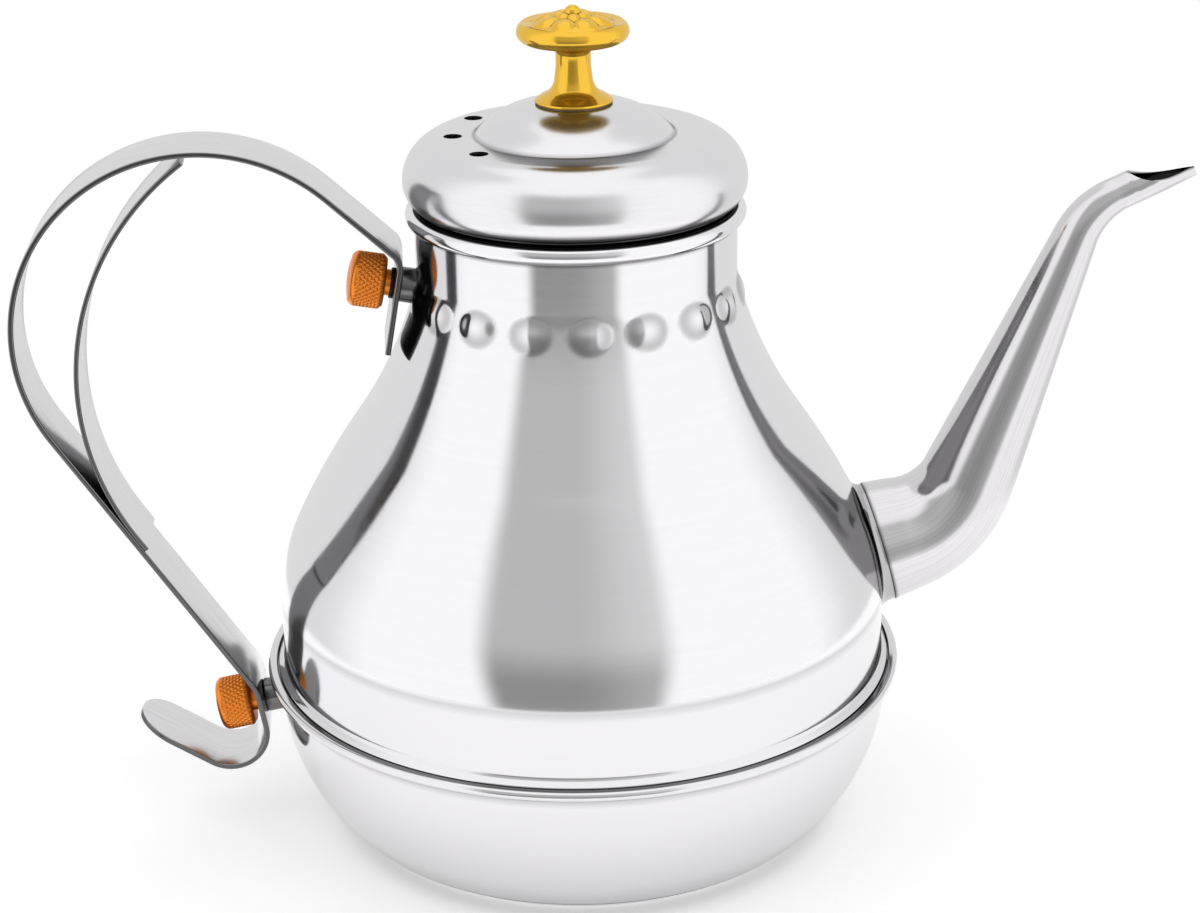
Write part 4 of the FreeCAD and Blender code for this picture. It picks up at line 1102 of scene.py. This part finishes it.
class KETTLE_OT_socket(Operator):
    """Flared collar that carries the spout's lower end out of the bell"""

    bl_idname = "kettle.socket"
    bl_label = "Spout socket"

    def execute(self, context):
        size, shades = settings("kettle_spout"), settings("kettle_shade")
        wall = settings("kettle_body").wall
        sunk, rounding = wall * 0.3, wall * 0.2
        point, axis = spout_axis()
        aside, upward = np.array([0.0, 1.0, 0.0]), np.array([-axis[2], 0.0, axis[0]])
        columns = 128
        turns = column_angles(columns)
        spokes = np.cos(turns)[:, None] * upward + np.sin(turns)[:, None] * aside
        radius = size.root_diameter / 2 - sunk
        start = point + radius * spokes
        corner = self.on_bell(start, axis)
        foot = self.on_bell(point + (radius + size.socket_flare) * spokes, axis)
        t = np.linspace(0.0, 1.0, FLARE_ROWS)[:, None, None]
        flare = (1 - t)**2 * start + 2 * t * (1 - t) * corner + t**2 * foot
        lip = start[None] + axis * size.socket_lip - spokes[None] * rounding
        inside_radius = size.root_diameter / 2 - 2 * wall
        throat = point + inside_radius * spokes
        mouth = throat + axis * size.socket_lip
        hidden = self.on_bell(throat, axis)
        grid = np.concatenate([mouth[None], lip, flare, hidden[None]])
        faces = grid_quads(len(grid), columns, wrap_rows=True).reshape(-1, 4)
        # Painted shade: dark in the socket's mouth and lip and where the spout enters, grey in the flare's hollow
        # and where it meets the bell
        shade = np.concatenate([[1.0, 1.0, shades.spout_joint_shade],
                                np.full(FLARE_ROWS - 2, shades.socket_flare), [shades.socket_foot_shade, 1.0]])
        add_piece("spout_collar", grid, faces, finish_of("spout_socket"), ["spout_socket"],
                  shade=np.repeat(shade, columns), grain=spin_grain(grid))
        return {"FINISHED"}

    def on_bell(self, points, axis):
        """Where lines from points, back along the spout's axis, meet the bell: found by halving."""
        inward = -settings("kettle_spout").root_diameter
        near, far = np.zeros(len(points)), np.full(len(points), inward)
        for _ in range(HALVINGS):
            middle = (near + far) / 2
            there = points + middle[:, None] * axis
            outside = np.hypot(there[:, 0], there[:, 1]) > bell_radius(there[:, 2])
            near, far = np.where(outside, middle, near), np.where(outside, far, middle)
        return points + far[:, None] * axis


class KETTLE_OT_handle(Operator):
    """Bent strap with its loop and hook, and the brace inside the loop"""

    bl_idname = "kettle.handle"
    bl_label = "Handle"

    def execute(self, context):
        size = settings("kettle_handle")
        heading, runs = strap_runs()
        start = (-size.end_reach, size.end_height)
        width = STRAP_HIGH.y * 2
        self.strap("strap", start, heading, runs, size.thick, width, size.tip_round, "handle_strap")
        places, headings, _ = trace(start, heading, runs[:4], STRIP_STEP)
        loop_end, down = places[-1], headings[-1]
        offset = (size.thick + size.brace_thick) / 2
        forward, left = self.ways(down)
        low = loop_end + forward * size.brace_from + left * offset
        self.strap("brace", low, down - math.pi,
                   [(size.brace_run, 0.0), bend_run(size.brace_arc, -size.brace_turn)],
                   size.brace_thick, width, 0.0, "handle_brace")
        return {"FINISHED"}

    def ways(self, heading):
        """Unit steps forward along a heading and to its left."""
        return (np.array([math.cos(heading), math.sin(heading)]),
                np.array([-math.sin(heading), math.cos(heading)]))

    def strap(self, name, start, heading, runs, thick, width, tip, node):
        """Rounded rectangle carried along a path; towards the tip its width follows a round corner."""
        size = settings("kettle_handle")
        places, headings, travelled = trace(start, heading, runs, STRIP_STEP)
        if tip:
            quarter = np.linspace(math.pi / 2, 0.0, TIP_STATIONS)
            near_end = travelled[-1] - tip * (1 - np.cos(quarter))
            stations = np.union1d(travelled[travelled < near_end[0]], near_end)
            places = np.column_stack([np.interp(stations, travelled, places[:, i]) for i in (0, 1)])
            headings = np.interp(stations, travelled, headings)
            travelled = stations
        edge = min(size.edge, thick * 0.45)
        corners = np.arange(4)[:, None] * math.pi / 2
        rounds = corners + np.linspace(0.0, math.pi / 2, CORNER_POINTS)
        sides = np.sign(np.cos(corners + math.pi / 4))
        ends = np.sign(np.sin(corners + math.pi / 4))
        across = (sides * (thick / 2 - edge) + edge * np.cos(rounds)).ravel()
        along = (ends * (width / 2 - edge) + edge * np.sin(rounds)).ravel()
        left = np.clip(travelled[-1] - travelled, 0.0, tip)
        loss = tip - np.sqrt(np.maximum(tip**2 - (tip - left)**2, 0.0))
        narrowing = 1.0 - loss / (width / 2)
        x = places[:, :1] - np.sin(headings)[:, None] * across
        z = places[:, 1:] + np.cos(headings)[:, None] * across
        grid = np.stack([x, narrowing[:, None] * along, z], axis=-1)
        rows, columns = grid.shape[:2]
        # Painted shade on the edges of strap and brace
        sheared = np.clip((np.abs(along) - width / 2 + edge) / edge, 0.0, 1.0)
        shade = np.tile(sheared * settings("kettle_shade").edge_painted_shade, rows)
        grain = np.stack([np.broadcast_to(travelled[:, None] * STRIP_DRAW, x.shape), grid[..., 1],
                          np.broadcast_to(across, x.shape)], axis=-1)
        add_piece(name, grid, bar_faces(rows, columns), finish_of(node), [node], sharp=50.0,
                  shade=shade, grain=grain)


class KETTLE_OT_fixings(Operator):
    """Bosses, threaded studs, washers and knurled cap nuts that hold the handle"""

    bl_idname = "kettle.fixings"
    bl_label = "Handle fixings"

    def execute(self, context):
        size, strap = settings("kettle_fixing"), settings("kettle_handle").thick
        for side in ("upper", "lower"):
            joint = JOINTS[f"{side}_nut_turn"]
            outward = Vector(joint["axis"]).normalized()
            middle = Vector(joint["pos_m"])
            face = middle + outward * strap / 2
            self.boss(side, middle - outward * strap / 2, outward)
            self.stud(side, middle - outward * strap / 2, outward)
            self.washer(side, axis_place(face, outward))
            self.nut(side, axis_place(face + outward * size.washer_thick, outward))
        return {"FINISHED"}

    def boss(self, side, seat, outward):
        """Short turned spacer whose inner end reaches just into the wall."""
        size = settings("kettle_fixing")
        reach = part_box(f"{side}_boss")[1].x - seat.x
        round_edge = size.boss_radius * 0.12
        # Painted shadow darkens the whole spacer
        add_turned(f"{side}_spacer", [
            (size.stud_radius, 0.0),
            (size.boss_radius - round_edge, 0.0, round_edge),
            (size.boss_radius, round_edge),
            (size.boss_radius, reach),
            (size.stud_radius, reach),
        ], finish_of(f"{side}_boss"), f"{side}_boss", columns=64, place=axis_place(seat, -outward),
            shade=settings("kettle_shade").boss)

    def stud(self, side, seat, outward):
        """Rod with a thread: its radius falls off with the distance from a helix of the pitch, and
        it tapers over its last turn."""
        size = settings("kettle_fixing")
        reach = settings("kettle_handle").thick + size.washer_thick + size.stud_engaged
        heights = np.linspace(-size.stud_rooted, reach, THREAD_ROWS)
        columns = 40
        turns = np.arange(columns) / columns
        phase = (heights[:, None] / size.thread_pitch - turns) % 1.0
        ridge = 1.0 - np.abs(2.0 * phase - 1.0)
        fade = np.clip((reach - heights) / size.thread_pitch, 0.35, 1.0)[:, None]
        taper = 0.8 + 0.2 * fade
        radii = (size.stud_radius - size.thread_depth * ridge) * taper
        grid = turned(radii, heights, columns)
        add_piece(f"{side}_thread", grid, bar_faces(THREAD_ROWS, columns), finish_of(f"{side}_stud"),
                  [f"{side}_stud"], place=axis_place(seat, outward), sharp=70.0)

    def washer(self, side, place):
        """Flat ring with rounded edges between strap and nut."""
        size = settings("kettle_fixing")
        bore, thick = size.stud_radius + size.stud_fit, size.washer_thick
        corners = ring_corners(bore, size.washer_radius, 0.0, thick, edge=thick * 0.2)
        add_turned(f"{side}_ring", corners, finish_of(f"{side}_washer"), f"{side}_washer",
                   columns=72, place=place, count=5)

    def nut(self, side, place):
        """Turned cap nut; two families of helical grooves cut its head into diamonds: the radius
        drops by the depth times the nearer of the two grooves."""
        size = settings("kettle_fixing")
        bore, collar, radius, edge = (size.stud_radius + size.stud_fit, size.collar_radius,
                                      size.nut_radius, size.nut_edge)
        start = size.collar_length
        stop = start + size.nut_length
        blind = size.stud_engaged + BLIND_ROOM
        rise = edge * 0.6
        crown = radius - 2 * edge
        side_rows = np.column_stack([np.full(KNURL_ROWS, radius),
                                     np.linspace(start + edge, stop - 2 * edge, KNURL_ROWS)])
        rows = np.concatenate([
            outline([(0.0, blind), (bore, blind), (bore, 0.0), (collar, 0.0), (collar, start),
                     (radius - edge, start), (radius, start + edge)])[:-1],
            side_rows,
            outline([(radius, stop - 2 * edge, 2 * edge), (crown, stop, cap_bend(crown, rise)),
                     (0.0, stop + rise)])[1:],
        ])
        columns = size.knurl_count * KNURL_COLUMNS
        turns = np.arange(columns) / columns * size.knurl_count
        climb = rows[:, 1:] / size.knurl_pitch
        half_groove, second_cut = 0.3, 0.7
        grooves = [nearness(np.abs((turns + way * climb) % 1.0 - 0.5), half_groove)
                   for way in (1.0, -1.0)]
        plain_start, plain_stop, run_out = start + edge * 0.4, stop - edge * 1.4, edge * 0.5
        from_ends = np.minimum(rows[:, 1] - plain_start, plain_stop - rows[:, 1])
        on_side = rows[:, :1] > radius * 0.9
        fade = np.clip(from_ends / run_out, 0.0, 1.0)[:, None] * on_side
        radii = rows[:, :1] - size.knurl_depth * fade * np.maximum(grooves[0], grooves[1] * second_cut)
        grid = turned(radii, rows[:, 1], columns)
        faces = grid_quads(len(rows), columns).reshape(-1, 4)
        add_piece(f"{side}_cap_nut", grid, faces, finish_of(f"{side}_nut"), [f"{side}_nut"],
                  place=place, sharp=60.0)


class KETTLE_OT_lid(Operator):
    """Spun lid with steam vents, and the sleeve that centres it in the neck"""

    bl_idname = "kettle.lid"
    bl_label = "Lid"

    def execute(self, context):
        size, shades = settings("kettle_lid"), settings("kettle_shade")
        rows = self.profile()
        columns = 360
        inner_rows = set_in(rows, settings("kettle_body").wall)
        inner_rows[-1, 0] = rows[-1, 0]
        outer = turned(rows[:, 0], rows[:, 1], columns)
        inner = turned(inner_rows[:, 0], inner_rows[:, 1], columns)
        cut = np.zeros((len(rows) - 1, columns), bool)
        middle = cell_middles(outer)
        on_top = middle[..., 2] > LID_LOW.z + size.under
        for centre in self.vents():
            away = np.hypot(*np.moveaxis(middle[..., :2] - centre, -1, 0))
            cut |= (away < size.vent_radius) & on_top
        for grid in (outer, inner):
            self.round_vents(grid, cut)
        faces = shell_faces(len(rows), columns, cut)
        # Painted shade: dark on the underside of the lid's lower edge and in the crease at the crown's foot, and
        # grey over the inner wall
        under = np.clip(-rows[:, 2] / size.under_lean * 2.0 - 1.0, 0.0, 1.0)
        ring_height = LID_LOW.z + size.shoulder + size.under * math.sin(size.under_lean)
        crease = np.hypot(rows[:, 0] - size.crown_foot, rows[:, 1] - ring_height)
        dark = np.maximum(under, shades.lid_crease_shade * nearness(crease, size.crease_arc))
        shade = np.concatenate([np.repeat(dark, columns),
                                np.full(len(rows) * columns, shades.lid_inside_shade)])
        add_piece("lid", both_walls(outer, inner), faces, spun_lid(), ["lid_dome"], sharp=50.0,
                  shade=shade, grain=both_walls(spin_grain(outer), spin_grain(inner)))
        self.sleeve()
        return {"FINISHED"}

    def profile(self):
        """Outer rows of the lid: floor, folded lower edge, under curve, shoulder, flat ring, crease,
        crown and flat top. The fold touches the floor and the under curve, the crease touches the
        ring and the crown."""
        body, size = settings("kettle_body"), settings("kettle_lid")
        lip = np.array([size.sleeve_radius - body.wall, LID_LOW.z, -math.pi / 2])
        bend = size.under - body.wall
        turn = math.asin((size.under * math.sin(size.under_lean) - body.wall) / bend)
        floor = run_rows(lip, LID_HIGH.x - size.under + bend * math.cos(turn) - lip[0],
                         LID_ROWS["floor"])
        fold = arc_rows(floor[-1], body.wall, -turn, LID_ROWS["fold"])
        under = arc_rows(fold[-1], size.under, 0.0, LID_ROWS["under"])
        shoulder = arc_rows(under[-1], size.shoulder, math.pi / 2, LID_ROWS["shoulder"])
        centre = size.crown_foot - size.crown_arc * math.cos(size.crown_lean)
        bend = size.crown_arc + size.crease_arc
        turn = math.asin((size.crown_arc * math.sin(size.crown_lean) + size.crease_arc) / bend)
        ring = run_rows(shoulder[-1], shoulder[-1][0] - centre - bend * math.cos(turn), LID_ROWS["ring"])
        crease = arc_rows(ring[-1], size.crease_arc, turn, LID_ROWS["crease"], hollow=True)
        crown = arc_rows(crease[-1], size.crown_arc, size.crown_top_lean, LID_ROWS["crown"])
        crest = np.array([crown[-1][0], LID_HIGH.z, math.pi / 2])
        hole = size.screw_radius + HOLE_ROOM
        flat = run_rows(crest, crest[0] - hole, LID_ROWS["flat"])
        return joined(floor, fold, under, shoulder, ring, crease, crown, flat)

    def vents(self):
        """Centres of the steam vents, in a row on the handle's side of the lid."""
        size = settings("kettle_lid")
        turns = math.pi + (np.arange(size.vent_count) - (size.vent_count - 1) / 2) * size.vent_spread
        return size.vent_circle * np.column_stack([np.cos(turns), np.sin(turns)])

    def round_vents(self, grid, cut):
        """Moves the points on a vent's edge out or in to its circle, keeping their height."""
        size = settings("kettle_lid")
        around = np.zeros(grid.shape[:2], int)
        marks = cut.astype(int)
        beside = np.roll(marks, 1, axis=1)
        around[:-1] += marks + beside
        around[1:] += marks + beside
        edge = (around > 0) & (around < 4)
        for centre in self.vents():
            away = grid[..., :2] - centre
            distance = np.linalg.norm(away, axis=-1)
            near = edge & (distance < 2 * size.vent_radius)
            scale = size.vent_radius / np.maximum(distance, SAME_ROW)
            grid[near, :2] = centre + away[near] * scale[near][:, None]

    def sleeve(self):
        """Sleeve inside the neck; its upper end bends out into a flange under the lid."""
        wall, outer = settings("kettle_body").wall, settings("kettle_lid").sleeve_radius
        inner = outer - wall
        low, high, seat = SKIRT_LOW.z, SKIRT_HIGH.z, SKIRT_HIGH.x
        flange, bend, edge = high - wall, wall * 0.6, wall / 2
        # Painted shadow darkens the sleeve from its upper bend to its flange
        add_turned("lid_sleeve", [
            (inner, low),
            (outer, low),
            (outer, flange - 1.5 * bend),
            (outer, flange - bend, -bend),
            (outer + bend, flange),
            (seat - edge, flange, edge),
            (seat, high - edge, edge),
            (seat - edge, high),
            (inner, high),
        ], finish_of("lid_skirt"), "lid_skirt", columns=200,
            shade=settings("kettle_shade").sleeve_painted_shadow, shade_from=flange - bend)


class KETTLE_OT_knob(Operator):
    """Gold knob with flared foot, disc and rosette, and the screw and washer that hold it"""

    bl_idname = "kettle.knob"
    bl_label = "Knob"

    def execute(self, context):
        size = settings("kettle_lid")
        height, foot = KNOB_HIGH.z - KNOB_LOW.z, size.knob_foot
        waist, disc, rim = size.knob_waist, size.knob_disc, size.disc_rim
        bore, blind = size.screw_radius + BORE_ROOM, size.screw_length + BLIND_ROOM
        lip, slope_top = size.foot_lip, size.foot_slope
        flare, narrow, neck = height * 0.235, height * 0.38, height * 0.5
        under, edge, top = height * 0.585, height * 0.72, height * 0.83
        neck_flare, disc_lift = 0.002, 0.001
        bud_foot = height - size.bud_rise
        rows = outline([
            (0.0, blind),
            (bore, blind),
            (bore, 0.0),
            (foot - lip, 0.0, lip),
            (foot, lip, lip),
            (foot - lip * 0.6, lip * 1.8),
            (foot - slope_top * 0.85, slope_top, -height * 0.2),
            (waist * 1.1, flare),
            (waist, narrow),
            (waist, neck, -height * 0.1),
            (waist + neck_flare, under),
            (disc * 0.87, under + disc_lift, rim),
            (disc, edge, rim),
            (disc * 0.9, top),
            (size.face_radius, size.face_low),
        ], count=14)
        face = np.linspace(size.face_radius, size.bud_radius * 1.05, FACE_ROWS)[1:]
        slope = np.interp(face, [face[-1], size.face_radius], [bud_foot, size.face_low])
        bud = outline([(size.bud_radius, bud_foot, cap_bend(size.bud_radius, size.bud_rise)),
                       (0.0, height)], count=12)
        columns = size.petal_count * PETAL_COLUMNS
        levels = np.concatenate([np.repeat(rows[:, 1:], columns, axis=1),
                                 slope[:, None] + self.petals(face[:, None], column_angles(columns)),
                                 np.repeat(bud[:, 1:], columns, axis=1)])
        radii = np.concatenate([rows[:, 0], face, bud[:, 0]])
        grid = turned(radii, np.zeros(len(radii)), columns)
        grid[..., 2] = levels + KNOB_LOW.z
        faces = grid_quads(len(radii), columns).reshape(-1, 4)
        add_piece("lid_knob", grid, faces, finish_of("knob"), ["knob"], sharp=45.0)
        self.fastening()
        return {"FINISHED"}

    def petals(self, radii, turns):
        """Relief of the rosette: two rings of petals, each its rise times (1 - d^2)^0.7, where d is
        the distance from the petal's middle as a share of its reach."""
        size = settings("kettle_lid")
        rings = ((size.petal_circle, size.petal_radius, size.petal_rise, 0.0),
                 (size.lobe_circle, size.lobe_radius, size.lobe_rise, 0.5))
        step = 2 * math.pi / size.petal_count
        reliefs = []
        for circle, reach, rise, offset in rings:
            aside = ((turns / step + offset) % 1.0 - 0.5) * step
            away = (radii * np.cos(aside) - circle)**2 + (radii * np.sin(aside))**2
            reliefs.append(rise * np.maximum(1.0 - away / reach**2, 0.0)**0.7)
        return np.maximum(*reliefs)

    def fastening(self):
        """Screw with a rounded head inside the lid, and the washer under that head."""
        size, wall = settings("kettle_lid"), settings("kettle_body").wall
        low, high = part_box("knob_screw")
        seat = low.z + size.screw_head_height
        head, height = size.screw_head, size.screw_head_height
        add_turned("knob_bolt", [
            (0.0, seat - height),
            (head * 0.6, seat - height, head * 0.9),
            (head, seat - height * 0.4),
            (head, seat),
            (size.screw_radius, seat),
            (size.screw_radius, high.z),
            (0.0, high.z),
        ], finish_of("knob_screw"), "knob_screw", columns=64, loop=False)
        corners = ring_corners(size.screw_radius + BORE_ROOM, size.washer_radius, seat, wall,
                               edge=wall * 0.25)
        add_turned("knob_ring", corners, finish_of("knob_washer"), "knob_washer", columns=72, count=5)


# Stage: edges of the surround's openings in radians of bearing and height, and how they widen

FRONT_LEFT, FRONT_RIGHT = (-0.89, -0.68), (0.42, 0.62)
FRONT_BOTTOM, FRONT_TOP = (-0.37, -0.345), (0.78, 1.05)
FRONT_WIDTH, FRONT_FLARE = 1.14, 0.28
FRONT_RISE, FRONT_TURN = (-0.08, 0.44), (-0.15, 0.45)
BACK_SIDE, BACK_MIDDLE, BACK_TOP, BACK_LIFT = (1.5, 2.05), (2.2, 3.0), (0.70, 0.85), 0.4


class KETTLE_OT_stage(Operator):
    """Pale floor, white surround with soft grey openings, and the camera"""

    bl_idname = "kettle.stage"
    bl_label = "Stage"

    def execute(self, context):
        self.surround(context.scene)
        self.floor(context.scene)
        self.camera(context.scene)
        context.scene.view_settings.view_transform = "Standard"
        return {"FINISHED"}

    def surround(self, scene):
        """White tent by direction: a grey opening in front, brighter to the upper right, soft grey
        behind, and less light for a reflection within a reflection, as steel takes some at each
        bounce; the camera itself sees plain white."""
        stage = settings("kettle_stage")
        world = bpy.data.worlds.new("tent")
        scene.world = world
        world.use_nodes = True
        tree = world.node_tree
        tree.nodes.clear()
        place = tree.nodes.new("ShaderNodeTexCoord")
        split = tree.nodes.new("ShaderNodeSeparateXYZ")
        tree.links.new(place.outputs["Generated"], split.inputs["Vector"])
        bearing = math_node(tree, "ARCTAN2", split.outputs["X"],
                            math_node(tree, "MULTIPLY", split.outputs["Y"], -1.0))
        height = math_node(tree, "ARCSINE", split.outputs["Z"])
        flared = math_node(tree, "MULTIPLY", height, FRONT_FLARE)
        flared = math_node(tree, "SUBTRACT", FRONT_WIDTH, flared)
        flared = math_node(tree, "MULTIPLY", bearing, flared)
        front = product(tree, ramp(tree, flared, *FRONT_LEFT), fall(tree, flared, *FRONT_RIGHT),
                        ramp(tree, height, *FRONT_BOTTOM), fall(tree, height, *FRONT_TOP))
        level = math_node(tree, "MULTIPLY", ramp(tree, height, *FRONT_RISE),
                          stage.front_high - stage.front_low)
        level = math_node(tree, "ADD", level, stage.front_low)
        turned_right = math_node(tree, "MULTIPLY", ramp(tree, bearing, *FRONT_TURN), stage.front_right)
        level = math_node(tree, "ADD", level, turned_right)
        light = mixed(tree, front, 1.0, level)
        turn = math_node(tree, "ABSOLUTE", bearing)
        lift = math_node(tree, "MULTIPLY", fall(tree, turn, *BACK_MIDDLE), BACK_LIFT)
        back = product(tree, ramp(tree, turn, *BACK_SIDE),
                       fall(tree, math_node(tree, "SUBTRACT", height, lift), *BACK_TOP))
        light = mixed(tree, back, light, stage.back_grey)
        path = tree.nodes.new("ShaderNodeLightPath")
        bounces = math_node(tree, "SUBTRACT", path.outputs["Glossy Depth"], 1.0)
        left = math_node(tree, "POWER", stage.bounce_share, math_node(tree, "MAXIMUM", bounces, 0.0))
        tent = tree.nodes.new("ShaderNodeBackground")
        tree.links.new(math_node(tree, "MULTIPLY", light, left), tent.inputs["Color"])
        white = tree.nodes.new("ShaderNodeBackground")
        white.inputs["Color"].default_value = (1.0, 1.0, 1.0, 1.0)
        mix = tree.nodes.new("ShaderNodeMixShader")
        output = tree.nodes.new("ShaderNodeOutputWorld")
        tree.links.new(path.outputs["Is Camera Ray"], mix.inputs["Fac"])
        tree.links.new(tent.outputs["Background"], mix.inputs[1])
        tree.links.new(white.outputs["Background"], mix.inputs[2])
        tree.links.new(mix.outputs["Shader"], output.inputs["Surface"])

    def floor(self, scene):
        """Round floor just under the base, pale, with a little light of its own so that it is white
        where nothing shades it, and with a soft edge."""
        stage = settings("kettle_stage")
        material, tree, shader = new_material("floor")
        shader.inputs["Base Color"].default_value = (*stage.floor_colour, 1.0)
        shader.inputs["Roughness"].default_value = 0.9
        shader.inputs["Specular IOR Level"].default_value = 0.0
        shader.inputs["Emission Color"].default_value = (1.0, 1.0, 1.0, 1.0)
        shader.inputs["Emission Strength"].default_value = stage.floor_glow
        place = tree.nodes.new("ShaderNodeTexCoord")
        away = tree.nodes.new("ShaderNodeVectorMath")
        away.operation = "LENGTH"
        tree.links.new(place.outputs["Object"], away.inputs[0])
        clear = tree.nodes.new("ShaderNodeBsdfTransparent")
        edge = tree.nodes.new("ShaderNodeMixShader")
        tree.links.new(ramp(tree, away.outputs["Value"], stage.floor_radius - stage.floor_fade,
                            stage.floor_radius), edge.inputs["Fac"])
        tree.links.new(shader.outputs["BSDF"], edge.inputs[1])
        tree.links.new(clear.outputs["BSDF"], edge.inputs[2])
        tree.links.new(edge.outputs["Shader"], tree.nodes["Material Output"].inputs["Surface"])
        columns = 128
        radii = np.array([0.0, stage.floor_radius])
        grid = turned(radii, np.full(2, -stage.floor_drop), columns).reshape(-1, 3)
        mesh = bpy.data.meshes.new("floor")
        mesh.from_pydata(grid.tolist(), [], [list(range(columns, 2 * columns))])
        mesh.materials.append(material)
        floor = bpy.data.objects.new("floor", mesh)
        scene.collection.objects.link(floor)

    def camera(self, scene):
        """Camera that stands and looks as the photo's did."""
        stage = settings("kettle_stage")
        data = bpy.data.cameras.new("camera")
        data.sensor_fit = "HORIZONTAL"
        data.lens = stage.focal_pixels / IMAGE_WIDTH * data.sensor_width
        data.clip_start = 0.01
        camera = bpy.data.objects.new("camera", data)
        scene.collection.objects.link(camera)
        around = Matrix.Rotation(stage.camera_azimuth, 4, "Z")
        back = Matrix.Translation((0.0, -stage.camera_distance, stage.camera_height))
        aim = Matrix.Rotation(-stage.camera_aim, 4, "Z")
        tilt = Matrix.Rotation(math.pi / 2 - stage.camera_pitch, 4, "X")
        roll = Matrix.Rotation(stage.camera_roll, 4, "Z")
        camera.matrix_world = around @ back @ aim @ tilt @ roll
        scene.camera = camera


class KETTLE_PT_panel(Panel):
    """Lists the kettle's pieces in the sidebar"""

    bl_label = "Gooseneck kettle"
    bl_idname = "KETTLE_PT_panel"
    bl_space_type = "VIEW_3D"
    bl_region_type = "UI"
    bl_category = "Kettle"

    def draw(self, context):
        for operator in OPERATORS:
            self.layout.operator(operator.bl_idname)
        for name, group in GROUPS.items():
            box = self.layout.box()
            box.label(text=group.__doc__)
            for key in group.__annotations__:
                box.prop(getattr(context.scene, name), key)


OPERATORS = (
    KETTLE_OT_stage,
    KETTLE_OT_base,
    KETTLE_OT_bowl,
    KETTLE_OT_bell,
    KETTLE_OT_socket,
    KETTLE_OT_spout,
    KETTLE_OT_handle,
    KETTLE_OT_fixings,
    KETTLE_OT_lid,
    KETTLE_OT_knob,
)


def register():
    for group in GROUPS.values():
        bpy.utils.register_class(group)
    for name, group in GROUPS.items():
        setattr(bpy.types.Scene, name, PointerProperty(type=group))
    for item in (*OPERATORS, KETTLE_PT_panel):
        bpy.utils.register_class(item)


def unregister():
    for item in (KETTLE_PT_panel, *reversed(OPERATORS)):
        bpy.utils.unregister_class(item)
    for name, group in reversed(GROUPS.items()):
        delattr(bpy.types.Scene, name)
        bpy.utils.unregister_class(group)


def main():
    register()
    for operator in OPERATORS:
        family, name = operator.bl_idname.split(".")
        getattr(getattr(bpy.ops, family), name)()
    bpy.context.view_layer.update()


if __name__ == "__main__":
    main()
